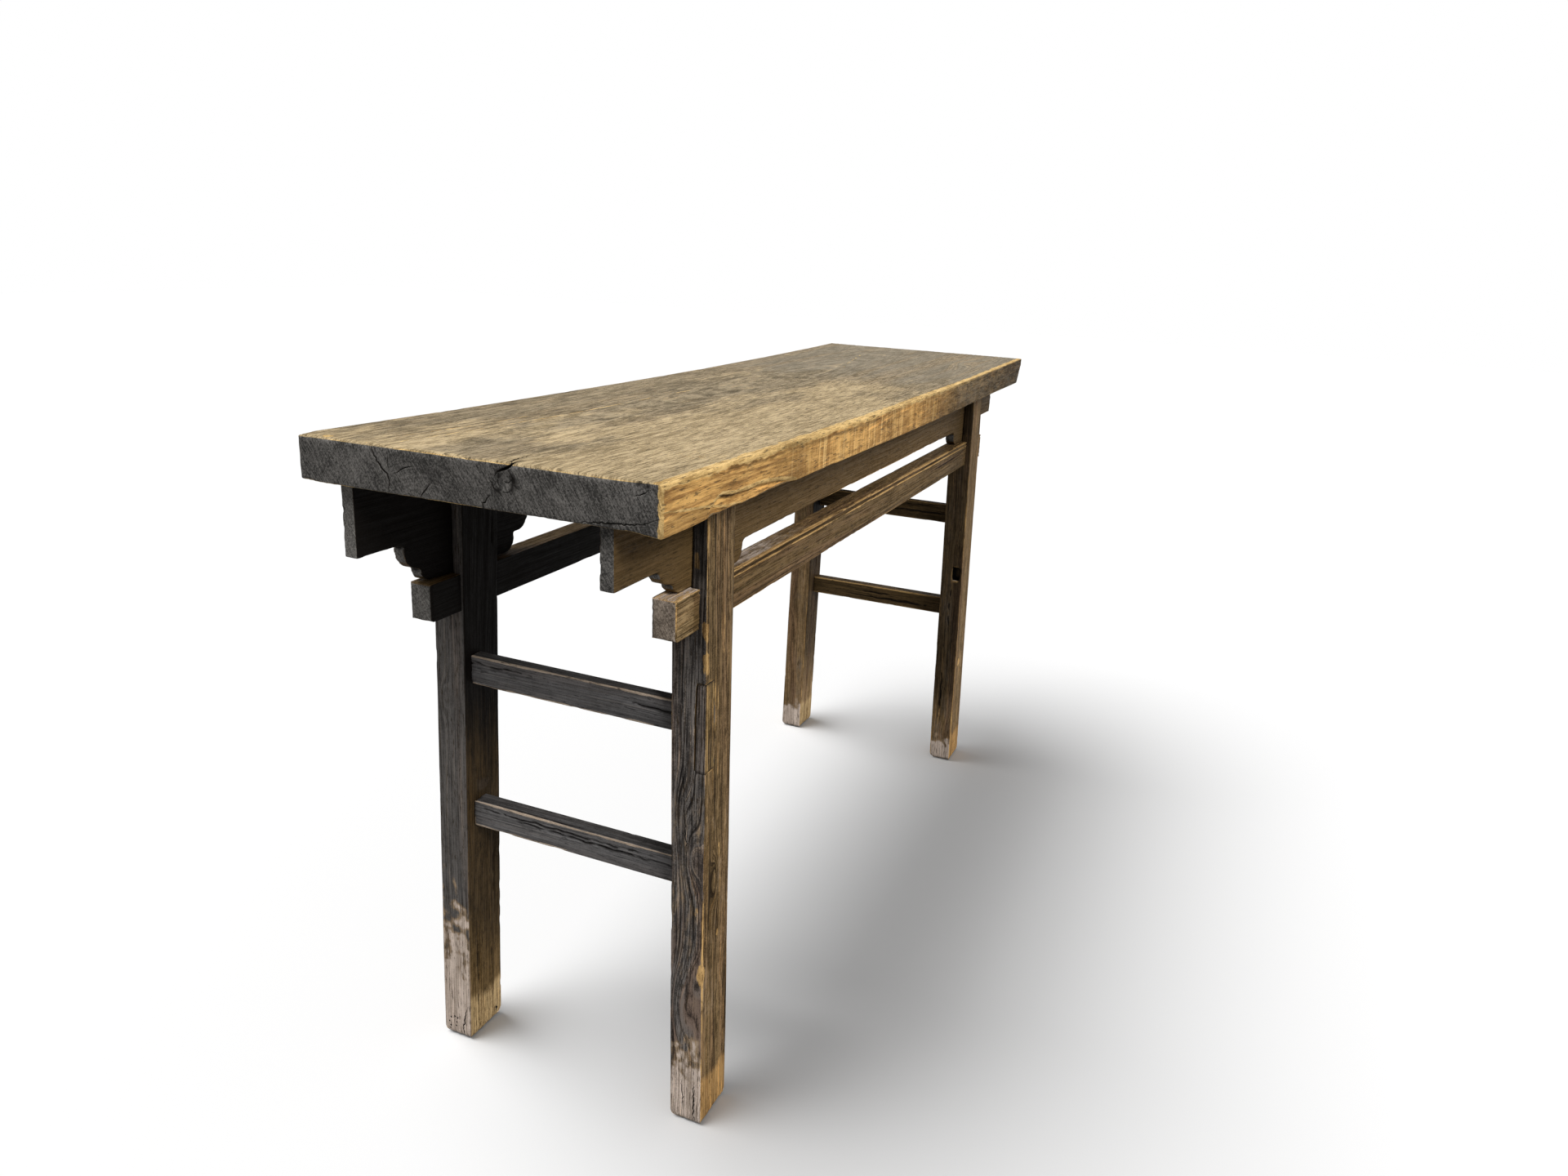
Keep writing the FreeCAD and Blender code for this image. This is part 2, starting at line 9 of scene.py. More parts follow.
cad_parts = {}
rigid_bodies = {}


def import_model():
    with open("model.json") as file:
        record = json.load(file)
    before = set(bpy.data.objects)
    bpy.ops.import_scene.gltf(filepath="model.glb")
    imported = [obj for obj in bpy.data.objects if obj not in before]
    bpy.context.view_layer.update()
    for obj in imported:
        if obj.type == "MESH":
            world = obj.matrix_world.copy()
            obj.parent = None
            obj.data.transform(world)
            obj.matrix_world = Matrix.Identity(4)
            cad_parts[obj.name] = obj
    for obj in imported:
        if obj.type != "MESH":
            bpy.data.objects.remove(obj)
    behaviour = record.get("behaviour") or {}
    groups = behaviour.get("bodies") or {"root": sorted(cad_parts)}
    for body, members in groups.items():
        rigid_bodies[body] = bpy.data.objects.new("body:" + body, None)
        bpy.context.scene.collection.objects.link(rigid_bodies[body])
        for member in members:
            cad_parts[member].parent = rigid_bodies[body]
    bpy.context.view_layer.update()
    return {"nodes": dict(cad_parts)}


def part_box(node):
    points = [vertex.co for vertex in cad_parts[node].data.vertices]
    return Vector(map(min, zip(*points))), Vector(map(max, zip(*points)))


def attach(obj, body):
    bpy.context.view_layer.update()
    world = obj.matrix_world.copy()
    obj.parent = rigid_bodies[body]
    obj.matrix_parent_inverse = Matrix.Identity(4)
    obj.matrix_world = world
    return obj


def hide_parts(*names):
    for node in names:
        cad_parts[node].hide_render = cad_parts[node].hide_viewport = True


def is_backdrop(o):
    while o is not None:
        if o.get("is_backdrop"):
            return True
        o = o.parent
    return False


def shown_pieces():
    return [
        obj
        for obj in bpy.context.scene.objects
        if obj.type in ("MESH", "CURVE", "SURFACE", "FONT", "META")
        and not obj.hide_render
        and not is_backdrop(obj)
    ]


# The dressed altar table: each CAD piece is rebuilt as a dense, worn wooden mesh in the same place.
# Blender's lengths are in metres. The wear is worked out in millimetres: so are all spots, sizes, depths
# and tables here, apart from the floor and the camera.

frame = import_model()
MM = 0.001
X, Y, Z = 0, 1, 2
# The height at which the legs' splay starts, downwards
LEG_TOP = 800


# Noise

def cell_value(cells, seed):
    """A fixed random number from 0 to 1 for each whole-numbered cell."""
    parts = cells.astype(np.int64).astype(np.uint32)
    mixed = parts[:, 0] * np.uint32(374761393) + parts[:, 1] * np.uint32(668265263)
    mixed += parts[:, 2] * np.uint32(2246822519) + np.uint32(seed * 3266489917 % 2**32)
    mixed = (mixed ^ (mixed >> np.uint32(13))) * np.uint32(1274126177)
    mixed = (mixed ^ (mixed >> np.uint32(15))) * np.uint32(2654435761)
    return (mixed ^ (mixed >> np.uint32(16))) / 2.0**32


def smooth_noise(points, seed):
    """Value noise from 0 to 1."""
    cells = np.floor(points)
    inside = points - cells
    inside = inside * inside * (3 - 2 * inside)
    total = np.zeros(len(points))
    for corner in np.ndindex(2, 2, 2):
        share = np.prod(np.where(np.array(corner) == 1, inside, 1 - inside), axis=1)
        total += share * cell_value(cells + corner, seed)
    return total


def fractal(spots, size, seed, octaves=3):
    """Layered noise from 0 to 1; size is the size of its features along x, y and z."""
    scaled = spots / np.array(size, float)
    total, weight, sum_of_weights = np.zeros(len(spots)), 1.0, 0.0
    for octave in range(octaves):
        total += weight * smooth_noise(scaled * 2**octave + 17.3 * octave, seed + octave)
        sum_of_weights += weight
        weight /= 2
    return total / sum_of_weights


def step(low, high, values):
    """0 below low, 1 above high, smooth in between."""
    share = np.clip((values - low) / (high - low), 0, 1)
    return share * share * (3 - 2 * share)


# Dense meshes

def across(grain):
    """The two axes that aren't the grain's."""
    return [axis for axis in range(3) if axis != grain]


def sized(grain, cross, lengthwise):
    """Sizes along x, y and z of something that is longer along the grain."""
    return tuple(lengthwise if axis == grain else cross for axis in range(3))


def box_mm(node):
    return [np.array(corner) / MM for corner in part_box(node)]


def new_mesh(name, places, faces):
    mesh = bpy.data.meshes.new(name)
    mesh.from_pydata(np.array(places, float).tolist(), [], faces)
    mesh.update()
    return mesh


def new_object(name, data):
    made = bpy.data.objects.new(name, data)
    bpy.context.scene.collection.objects.link(made)
    return made


def coordinates(mesh):
    flat = np.zeros(len(mesh.vertices) * 3, np.float32)
    mesh.vertices.foreach_get("co", flat)
    return flat.reshape(-1, 3).astype(float)


class Spacing:
    """Distances between a piece's mesh lines along one axis: (from, to, distance)."""

    def __init__(self, *spans):
        self.places = np.array([spans[0][0]] + [span[1] for span in spans], float)
        self.indices = np.cumsum([0.0] + [(span[1] - span[0]) / span[2] for span in spans])

    def to_index(self, values):
        return np.interp(values, self.places, self.indices)

    def from_index(self, values):
        return np.interp(values, self.indices, self.places)


class Surface:
    """A CAD node's surface as a dense mesh, ready to be worn, with a leg's splay taken off."""

    RELAX = 0.6

    def __init__(self, node, spacings, splay):
        self.spacings, self.splay = spacings, splay
        mesh = frame["nodes"][node].data.copy()
        spots = self.upright(coordinates(mesh) / MM, -1)
        index = np.stack([s.to_index(spots[:, i]) for i, s in enumerate(spacings)], axis=1)
        mesh.vertices.foreach_set("co", index.astype(np.float32).ravel())
        holder = new_object("remesh", mesh)
        modifier = holder.modifiers.new("voxels", "REMESH")
        modifier.mode, modifier.voxel_size = "VOXEL", 1.0
        graph = bpy.context.evaluated_depsgraph_get()
        dense = bpy.data.meshes.new_from_object(holder.evaluated_get(graph))
        self.index = coordinates(dense)
        self.faces = [tuple(p.vertices) for p in dense.polygons]
        edges = np.zeros(len(dense.edges) * 2, np.int32)
        dense.edges.foreach_get("vertices", edges)
        self.edges = edges.reshape(-1, 2)
        bpy.data.objects.remove(holder)
        bpy.data.meshes.remove(dense)
        bpy.data.meshes.remove(mesh)
        self.degree = np.bincount(self.edges.ravel(), minlength=len(self.index))[:, None]

    def upright(self, spots, sign):
        """Take off (-1) or put back (1) a leg's splay, which is none at its top."""
        return spots + sign * (1 - spots[:, 2:] / LEG_TOP) * (*self.splay, 0)

    def spots(self, index):
        return np.stack([s.from_index(index[:, i]) for i, s in enumerate(self.spacings)], axis=1)

    def neighbours(self, values):
        total = np.zeros_like(values)
        for end, other in ((0, 1), (1, 0)):
            for i in range(3):
                total[:, i] += np.bincount(self.edges[:, end], values[self.edges[:, other], i], len(values))
        return total / self.degree

    def smoothed(self, rounds, share=1.0):
        """The spots after some rounds of moving each one towards its neighbours."""
        index = self.index
        for _ in range(rounds):
            index = index + share * self.RELAX * (self.neighbours(index) - index)
        return self.spots(index)


def normals_of(spots, faces):
    mesh = new_mesh("normals", spots * MM, faces)
    found = np.array([v.normal[:] for v in mesh.vertices])
    bpy.data.meshes.remove(mesh)
    return found


# How far the grain wanders on its way along a timber
WANDER = 14


def grain_run(spots, grain, pith, knots, seed):
    """How far each spot lies from the pith, and how much of that is the grain bending round the knots."""
    straight = np.linalg.norm(spots[:, across(grain)] - np.array(pith), axis=1)
    bend = (fractal(spots, sized(grain, 90, 420), seed, 2) - 0.5) * WANDER
    for x, y, z, radius, height in knots:
        away = (((spots - (x, y, z)) / sized(grain, radius, 3.2 * radius)) ** 2).sum(axis=1)
        bend = bend + height * np.exp(-away)
    return straight + bend, bend


def blobs(spots, rows, seed, ragged=0.5):
    """The strongest of some soft-edged blots: (x, y, z, reach x, reach y, reach z, strength)."""
    found = np.zeros(len(spots))
    noise = (fractal(spots, (12, 12, 12), seed + 90, 3) - 0.5) * 2 * ragged
    for row in rows:
        away = np.linalg.norm((spots - row[:3]) / row[3:6], axis=1)
        found = np.maximum(found, row[6] * step(1.0, 0.45, away + noise * step(0.0, 0.6, away)))
    return found


def line_share(spots, lines, seed, wobble=5.0):
    """1 in the middle of a line, 0 beside it; a line is (half width, strength, points)."""
    found = np.zeros(len(spots))
    noise = np.stack([fractal(spots, (14, 14, 14), seed + i, 2) for i in range(3)], axis=1) - 0.5
    spots = spots + noise * wobble
    for width, strength, points in lines:
        points = np.array(points, float)
        low, high = points.min(axis=0) - 2 * width, points.max(axis=0) + 2 * width
        near = np.flatnonzero(np.all((spots > low) & (spots < high), axis=1))
        total = len(points) - 1
        for i in range(total):
            first, run = points[i], points[i + 1] - points[i]
            share = np.clip(((spots[near] - first) @ run) / (run @ run), 0, 1)
            away = np.linalg.norm(spots[near] - first - share[:, None] * run, axis=1)
            taper = width * (0.3 + 0.7 * np.sin(np.pi * (i + share) / total))
            found[near] = np.maximum(found[near], strength * np.clip(1.3 - 1.3 * away / taper, 0, 1))
    return found


def random_cracks(node, grain, count, seed):
    """Fine cracks along the grain on the four long faces of a timber."""
    rng = np.random.default_rng(seed)
    low, high = box_mm(node)
    sides = across(grain)
    lines = []
    for _ in range(count):
        face = int(rng.integers(4))
        fixed, free = sides if face < 2 else sides[::-1]
        start, run = rng.uniform(low[grain], high[grain]), rng.uniform(60, 260)
        place, drift = rng.uniform(low[free] + 5, high[free] - 5), rng.uniform(-3, 3)
        points = []
        for share in (0.0, 0.35, 0.7, 1.0):
            point = np.zeros(3)
            point[grain] = start + share * run
            point[fixed] = (low if face % 2 == 0 else high)[fixed]
            point[free] = place + drift * share + rng.uniform(-1, 1)
            points.append(point)
        lines.append((rng.uniform(1.6, 2.6), 1.0, points))
    return lines


def rounded(spots, edges):
    """Round a piece's outer edges; rows are (axis, side, axis, side, reach, reach)."""
    low, high = spots.min(axis=0), spots.max(axis=0)
    for axis_a, side_a, axis_b, side_b, reach_a, reach_b in edges:
        reach_a = reach_a(spots) if callable(reach_a) else reach_a
        reach_b = reach_b(spots) if callable(reach_b) else reach_b
        corner_a = (high if side_a > 0 else low)[axis_a]
        corner_b = (high if side_b > 0 else low)[axis_b]
        out_a = (spots[:, axis_a] - corner_a) * side_a / reach_a + 1
        out_b = (spots[:, axis_b] - corner_b) * side_b / reach_b + 1
        length = np.hypot(out_a, out_b)
        shrink = np.where((out_a > 0) & (out_b > 0) & (length > 1), 1 / np.maximum(length, 1e-6), 1)
        spots[:, axis_a] = corner_a + side_a * (out_a * shrink - 1) * reach_a
        spots[:, axis_b] = corner_b + side_b * (out_b * shrink - 1) * reach_b
    return spots


# Worn pieces

class Fields(dict):
    """Numbers at each spot, by name, which the piece's material reads as attributes."""

    NAMES = ("bend", "wear", "grime", "crack", "pale", "end", "char", "gold", "drip")

    def lift(self, name, values):
        """Raise a field to some values where they are higher."""
        self[name] = np.maximum(self[name], values)


# What a piece's look may say, besides its pith and its marks, and what holds where it says nothing
PLAIN_LOOK = {
    "rounds": 5, "blunt_low": 0.15, "blunt": 0.5, "edges": (), "shape": None, "bow": None, "spare": 0,
    "relief": 0.35, "waves": 0.7, "chips": 1.4, "carve": None, "gouges": (), "cracks": (), "knots": (),
    "wear": 1.0, "rubbed": (), "rubbed_lines": (), "dirty": (), "dirty_lines": (), "pale": (), "char": None,
}
# The width of a growth ring, and the depth of the fine cracks
RING = 8.0
CRACK_DEPTH = 3.0


def worn_piece(node, spacings, grain, look, seed, splay):
    """Replace a CAD node by its worn copy, with the fields that its material reads."""
    look = types.SimpleNamespace(**{**PLAIN_LOOK, **look})
    surface = Surface(node, spacings, splay)
    exact = surface.spots(surface.index)
    bluntness = step(0.35, 0.7, fractal(exact, sized(grain, 30, 120), seed))
    worn = surface.smoothed(look.rounds, (look.blunt_low + look.blunt * bluntness)[:, None])
    worn = rounded(worn, look.edges)
    if look.shape:
        worn = look.shape(worn)
    normals = normals_of(worn, surface.faces)

    def standing_out(rounds):
        """1 on the arrises and -1 in the corners that this much smoothing takes off or fills."""
        height = np.einsum("ij,ij->i", exact - surface.smoothed(rounds), normals)
        return np.clip(height / max(np.percentile(height, 99.5), 0.3), -1, 1)

    sharp, wide = standing_out(4), standing_out(24)
    distance, bend = grain_run(worn, grain, look.pith, look.knots, seed)
    lines = 0.5 + 0.5 * np.cos(2 * np.pi * distance / RING)
    lines = lines * fractal(worn, sized(grain, 16, 220), seed + 3, 2) * 1.6
    waves = fractal(worn, sized(grain, 50, 380), seed + 5, 2)
    chips = step(0.60, 0.72, fractal(worn, sized(grain, 11, 26), seed + 7, 2)) * np.clip(wide, 0, 1)
    cracks = line_share(worn, look.cracks, seed + 11)
    depth = look.relief * (1 - lines) + look.waves * waves + look.chips * chips + CRACK_DEPTH * cracks
    depth += blobs(worn, look.gouges, seed + 12)
    if look.carve:
        depth += look.carve(worn, normals)
    ragged = fractal(worn, sized(grain, 9, 60), seed + 9, 3)
    rub = step(0.35, 0.75, fractal(worn, sized(grain, 40, 240), seed + 10, 2))
    wear = look.wear * np.clip(sharp, 0, 1) ** 1.5 * (0.1 + 1.9 * rub) * (0.4 + 1.2 * ragged)
    wear = np.maximum(wear + blobs(worn, look.rubbed, seed + 13),
                      line_share(worn, look.rubbed_lines, seed + 16, 3.0))
    # Painted shade in the hollows and inner corners that the smoothing fills, together with the listed dirty
    # blots and lines
    darkening = np.maximum(np.clip(-wide * 1.6, 0, 1) + blobs(worn, look.dirty, seed + 14),
                      line_share(worn, look.dirty_lines, seed + 17, 3.0))
    fields = Fields((name, np.zeros(len(worn))) for name in Fields.NAMES)
    fields.update(
        bend=bend * MM,
        wear=np.clip(wear, 0, 1.5),
        grime=np.clip(darkening, 0, 1),
        crack=np.clip(cracks * 1.3, 0, 1),
        pale=blobs(worn, look.pale, seed + 15, 0.3),
        end=step(0.7, 0.9, np.abs(normals[:, grain])),
    )
    if look.char:
        fields["char"] = look.char(worn, normals, wide)
    look.marks(worn, normals, fields)
    worn = worn - normals * depth[:, None]
    if look.bow:
        worn[:, Z] -= look.bow(worn)
    worn = surface.upright(worn, 1)
    if not look.bow:
        low, high = box_mm(node)
        worn = np.clip(worn, low - look.spare, high + look.spare)
    mesh = new_mesh(node + "_worn", worn * MM, surface.faces)
    mesh.polygons.foreach_set("use_smooth", np.ones(len(mesh.polygons), bool))
    for name, values in fields.items():
        mesh.attributes.new(name, "FLOAT", "POINT").data.foreach_set("value", values.astype(np.float32))
    piece = new_object(node + "_worn", mesh)
    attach(piece, "root")
    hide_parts(node)
    return piece


# Deep cracks

def crooked(axis, points, rng):
    """A line's points, close together and a little out of line, kept on the face across the axis."""
    apart, wander = 3.0, 0.6
    points = np.array(points, float)
    total = np.concatenate([[0], np.cumsum(np.linalg.norm(np.diff(points, axis=0), axis=1))])
    at = np.linspace(0, total[-1], max(int(total[-1] / apart), 4) + 1)
    line = np.stack([np.interp(at, total, points[:, i]) for i in range(3)], axis=1)
    moves = rng.normal(0, min(wander, total[-1] / 25), line.shape)
    moves[[0, -1]] = 0
    moves[:, axis] = 0
    return line + moves


def blade(name, axis, side, depth, half_width, points):
    """A thin wedge that cuts a crack into the face on that side of that axis."""
    outward = np.zeros(3)
    outward[axis] = side
    run = np.gradient(points, axis=0)
    run /= np.linalg.norm(run, axis=1)[:, None]
    aside = np.cross(run, outward)
    verts, last = [], len(points) - 1
    for i in range(last + 1):
        taper = max(math.sin(math.pi * (i + 0.35) / (last + 0.7)), 0.2)
        for out, share in ((6.0, 1.0), (-depth * taper, 0.12)):
            for sign in (1, -1):
                verts.append(points[i] + outward * out + aside[i] * sign * share * half_width * taper)
    faces = [(0, 1, 3, 2), (4 * last, 4 * last + 2, 4 * last + 3, 4 * last + 1)]
    for a in range(0, 4 * last, 4):
        faces += [(a, a + 4, a + 5, a + 1), (a + 1, a + 5, a + 7, a + 3), (a + 3, a + 7, a + 6, a + 2),
                  (a + 2, a + 6, a + 4, a)]
    return new_mesh(name, np.array(verts) * MM, faces)


def carry_fields(old, made):
    """Give a cut mesh's new points the fields of the old points beside them."""
    tree = kdtree.KDTree(len(old.vertices))
    for number, spot in enumerate(coordinates(old)):
        tree.insert(spot, number)
    tree.balance()
    found = [tree.find_n(spot, 3) for spot in coordinates(made)]
    picked = np.array([[hit[1] for hit in hits] for hits in found])
    shares = np.array([[1 / (hit[2] + 1e-7) for hit in hits] for hits in found])
    shares /= shares.sum(axis=1)[:, None]
    for field in Fields.NAMES:
        before = np.zeros(len(old.vertices), np.float32)
        old.attributes[field].data.foreach_get("value", before)
        after = (before[picked] * shares).sum(axis=1).astype(np.float32)
        target = made.attributes.get(field) or made.attributes.new(field, "FLOAT", "POINT")
        target.data.foreach_set("value", after)


def cut_cracks(piece, rows, seed):
    """Cut wedge cracks out of a piece; rows are (axis, side, depth, half width, points)."""
    rng = np.random.default_rng(seed)
    piece.data.materials.append(crack_material())
    cutters = bpy.data.collections.new("cutters")
    bpy.context.scene.collection.children.link(cutters)
    for number, (axis, side, depth, half_width, points) in enumerate(rows):
        name = "crack_%d" % number
        mesh = blade(name, axis, side, depth, half_width, crooked(axis, points, rng))
        mesh.materials.append(crack_material())
        cutters.objects.link(bpy.data.objects.new(name, mesh))
    modifier = piece.modifiers.new("crack", "BOOLEAN")
    modifier.operation, modifier.solver = "DIFFERENCE", "MANIFOLD"
    modifier.operand_type, modifier.collection = "COLLECTION", cutters
    modifier.material_mode = "TRANSFER"
    graph = bpy.context.evaluated_depsgraph_get()
    cut = piece.evaluated_get(graph)
    made = bpy.data.meshes.new_from_object(cut, preserve_all_data_layers=True, depsgraph=graph)
    piece.modifiers.clear()
    old, piece.data = piece.data, made
    carry_fields(old, made)
    bpy.data.meshes.remove(old)
    for cutter in list(cutters.objects):
        bpy.data.meshes.remove(cutter.data)
    bpy.data.collections.remove(cutters)


# Materials

class Output:
    """A shader node's output. Sums, differences and products of outputs add math nodes."""

    def __init__(self, graph, socket):
        self.graph, self.socket = graph, socket

    def __add__(self, other):
        return self.graph.math("ADD", self, other)

    def __sub__(self, other):
        return self.graph.math("SUBTRACT", self, other)

    def __rsub__(self, other):
        return self.graph.math("SUBTRACT", other, self)

    def __mul__(self, other):
        return self.graph.math("MULTIPLY", self, other)


class Graph:
    """A material's or the world's node tree, with short calls for its nodes."""

    def __init__(self, owner):
        owner.use_nodes = True
        self.tree = owner.node_tree
        self.tree.nodes.clear()

    def node(self, kind, inputs=None, output=0, **settings):
        made = self.tree.nodes.new("ShaderNode" + kind)
        for key, value in settings.items():
            setattr(made, key, value)
        for key, value in (inputs or {}).items():
            if isinstance(value, Output):
                self.tree.links.new(value.socket, made.inputs[key])
            else:
                made.inputs[key].default_value = value
        return Output(self, made.outputs[output]) if len(made.outputs) else None

    def math(self, operation, first, second=0.0, clamp=False):
        return self.node("Math", {0: first, 1: second}, operation=operation, use_clamp=clamp)

    def noise(self, vector, factors, detail=2.0, roughness=0.5, distortion=0.0):
        scaled = self.node("VectorMath", {0: vector, 1: factors}, operation="MULTIPLY")
        inputs = {"Vector": scaled, "Scale": 1.0, "Detail": detail, "Roughness": roughness,
                  "Distortion": distortion}
        return self.node("TexNoise", inputs, "Fac")

    def between(self, value, low, high, to_low=0.0, to_high=1.0):
        inputs = {0: value, 1: low, 2: high, 3: to_low, 4: to_high}
        return self.node("MapRange", inputs, interpolation_type="SMOOTHSTEP")

    def mix(self, share, first, second, blend="MIX"):
        first, second = (v if isinstance(v, Output) else (*v, 1.0) for v in (first, second))
        return self.node("Mix", {0: share, 6: first, 7: second}, 2, data_type="RGBA", blend_type=blend)

    def attribute(self, name):
        return self.node("Attribute", output="Fac", attribute_name=name)

    def combine(self, x, y, z):
        return self.node("CombineXYZ", {0: x, 1: y, 2: z})

    def seen(self):
        """1 for a ray that shows something to the camera: straight, mirrored or through glass."""
        kinds = ("Is Camera Ray", "Is Glossy Ray", "Is Transmission Ray")
        rays = [self.node("LightPath", output=kind) for kind in kinds]
        return self.math("MINIMUM", rays[0] + rays[1] + rays[2], 1.0)

    def finish(self, colour, height, strength, distance, roughness, specular):
        bump = self.node("Bump", {"Height": height, "Strength": strength, "Distance": distance})
        shader = self.node("BsdfPrincipled", {"Base Color": colour, "Normal": bump, "Roughness": roughness,
                                              "Specular IOR Level": specular})
        self.node("OutputMaterial", {"Surface": shader})


# The near-black of dirt and of painted shade
DIRT_AND_SHADE_BLACK = (0.0045, 0.0035, 0.0028)
CRACK_BLACK = (0.008, 0.006, 0.005)
SMUDGE = (0.13, 0.072, 0.03)
DRIP_GOLD = (0.92, 0.66, 0.30)


def wood(name, grain, pith, tones, seed, groove=0.8, brown=0.5, soft=0.0, plank=False):
    """Weathered timber whose grain runs along the axis numbered grain; tones holds (light, dark) pairs."""
    material = bpy.data.materials.new(name)
    g = Graph(material)
    place = g.node("TexCoord", output="Object")
    parts = [g.node("SeparateXYZ", {0: place}, axis) for axis in (X, Y, Z)]
    aside, above = (parts[axis] - pith[n] * MM for n, axis in enumerate(across(grain)))
    run = g.math("SQRT", aside * aside + above * above) + g.attribute("bend")
    ringed = g.combine(run, parts[grain], seed * 0.37)
    place = g.node("VectorMath", {0: place, 1: (seed * 0.731, seed * 0.417, seed * 0.293)})

    def along(long_scale, cross_scale):
        return sized(grain, cross_scale, long_scale)

    def centred(value, amount):
        return (value - 0.5) * amount

    # Patterns: along the rings, then along the grain, then even ones
    lines = g.noise(ringed, (420, 24, 1), 4, 0.78) if plank else g.noise(ringed, (620, 6, 1), 4, 0.62)
    bands = g.noise(ringed, (75, 1.6, 2), 3, 0.55)
    grooves = g.noise(ringed, (620, 5, 7), 2, 0.55)
    ridges = g.noise(ringed, (700, 7, 13), 2, 0.55)
    fibres = g.noise(place, along(32, 540), 4, 0.78) if plank else g.noise(place, along(16, 850), 3, 0.6)
    pores = g.noise(place, along(62, 460), 3, 0.6)
    blotches = g.noise(place, along(4, 14), 4, 0.65)
    smear = g.noise(place, along(26, 95), 5, 0.75)
    speck = g.noise(place, (650, 650, 650), 3, 0.75)
    tone = lines * 0.36 + fibres * 0.34 + smear * 0.12 + speck * 0.18 + centred(blotches, 0.14)
    if not plank:
        tone = tone + centred(g.noise(place, (95, 95, 95), 5, 0.75), 0.14)
    share = g.between(tone, 0.44 - 0.12 * soft, 0.56 + 0.12 * soft)

    def toned(key, value=share):
        return g.mix(value, tones[key][1], tones[key][0])

    # The old surface: olive or brown, charred in places, golden where it is rubbed clean. The char's dark
    # colour also paints shade on the legs' end faces and the rails' inward faces, and sheen on the plank's
    # far half
    browned = g.between(bands, 0.47, 0.60, 0.0, brown)
    colour = g.mix(browned * 0.6, toned("body"), toned("brown"))
    char_shade_sheen_colour = g.mix(browned, toned("char"), toned("brown"))
    char = g.between(g.attribute("char") + centred(smear, 0.7) + centred(blotches, 0.4), 0.3, 0.7)
    colour = g.mix(char, colour, char_shade_sheen_colour)
    gold = g.between(g.attribute("gold") + centred(smear, 0.6), 0.3, 0.75)
    if plank:
        drip = g.attribute("drip")
        runs = g.noise(place, (62, 62, 9), 4, 0.65)
        thin = g.noise(place, (240, 240, 6), 2, 0.5)
        sawn = tone * 0.45 + g.noise(place, (11, 130, 210), 5, 0.72) * 0.55
        dripping = tone * 0.60 + runs * 0.24 + thin * 0.16
        streaky = sawn + drip * (dripping - sawn)
        colour = g.mix(gold, colour, toned("gold", g.between(streaky, 0.42, 0.58)))
        smudge = g.between(g.noise(place, (13, 24, 42), 5, 0.75, 0.4), 0.52, 0.66, 0.0, 0.62)
        colour = g.mix(gold * smudge, colour, SMUDGE)
        colour = g.mix(g.between(thin, 0.60, 0.68, 0.0, 0.5) * drip * gold, colour, DRIP_GOLD)
    else:
        colour = g.mix(gold, colour, toned("gold", g.between(tone, 0.42, 0.58)))

    # Pale wood, whose rim on the feet is earthy, and the grooves and ridges of the grain
    pale = g.between(g.attribute("pale") + smear - 0.5 + centred(blotches, 0.5), 0.2, 0.8)
    if "earth" in tones:
        colour = g.mix(g.math("MULTIPLY", pale, 3.0, clamp=True), colour, toned("earth"))
        pale = g.between(pale, 0.35, 1.0)
    colour = g.mix(pale, colour, toned("pale"))
    carved = 1.0 - pale * 0.75
    for pattern, tint in ((grooves, (0.14, 0.13, 0.12)), (ridges, (2.2, 2.0, 1.75))):
        colour = g.mix(g.between(pattern, 0.60, 0.665, 0.0, groove) * carved, colour, tint, "MULTIPLY")

    # End grain, with saw marks and pits
    at_end = g.between(g.attribute("end"), 0.3, 0.7)
    speckle = g.noise(place, (420, 420, 420), 4, 0.8)
    saw = g.combine(parts[Y] * 0.83 - parts[Z] * 0.55, parts[Y] * 0.55 + parts[Z] * 0.83, parts[X])
    end_tone = speckle * 0.54 + lines * 0.12 + g.noise(saw, (900, 70, 100), 3, 0.65) * 0.34
    end_tone = end_tone + centred(g.noise(place, along(20, 34), 3, 0.6), 0.25)
    pits = g.between(g.noise(place, along(150, 480), 2, 0.55), 0.62, 0.70, 0.0, 0.8)
    pit_black = tuple(c * 0.25 for c in tones["end"][1])
    end_colour = g.mix(pits, toned("end", g.between(end_tone, 0.39, 0.65)), pit_black)
    colour = g.mix(at_end, colour, end_colour)

    # Wear, open pores, and dirt together with painted shade
    ragged = g.noise(place, along(70, 330), 4, 0.8)
    wear = g.between(g.attribute("wear") + centred(ragged, 1.1), 0.46, 0.66)
    colour = g.mix(wear * 0.9, colour, toned("worn"))
    open_pores = g.between(pores, 0.58, 0.65) * (1.0 - at_end)
    if plank:
        open_pores = open_pores * (1.0 - char * 0.7)
    colour = g.mix(open_pores * 0.7, colour, tuple(c * 0.5 for c in tones["body"][1]))
    # Dirt and painted shade darken the colour towards near-black
    grime = g.math("MINIMUM", g.attribute("grime") * g.between(tone, 0.40, 0.62, 1.08, 1.0), 1.0)
    colour = g.mix(grime, colour, DIRT_AND_SHADE_BLACK)
    colour = g.mix(g.math("MINIMUM", g.attribute("crack"), 0.95), colour, CRACK_BLACK)
    height = lines * 0.35 + fibres * 0.35 + speckle * 0.15
    height = height - g.between(grooves, 0.60, 0.66, 0.0, 0.4 * groove)
    g.finish(colour, height, 0.9, 0.0018, g.between(tone, 0.40, 0.60, 0.80, 0.52), 0.05)
    return material


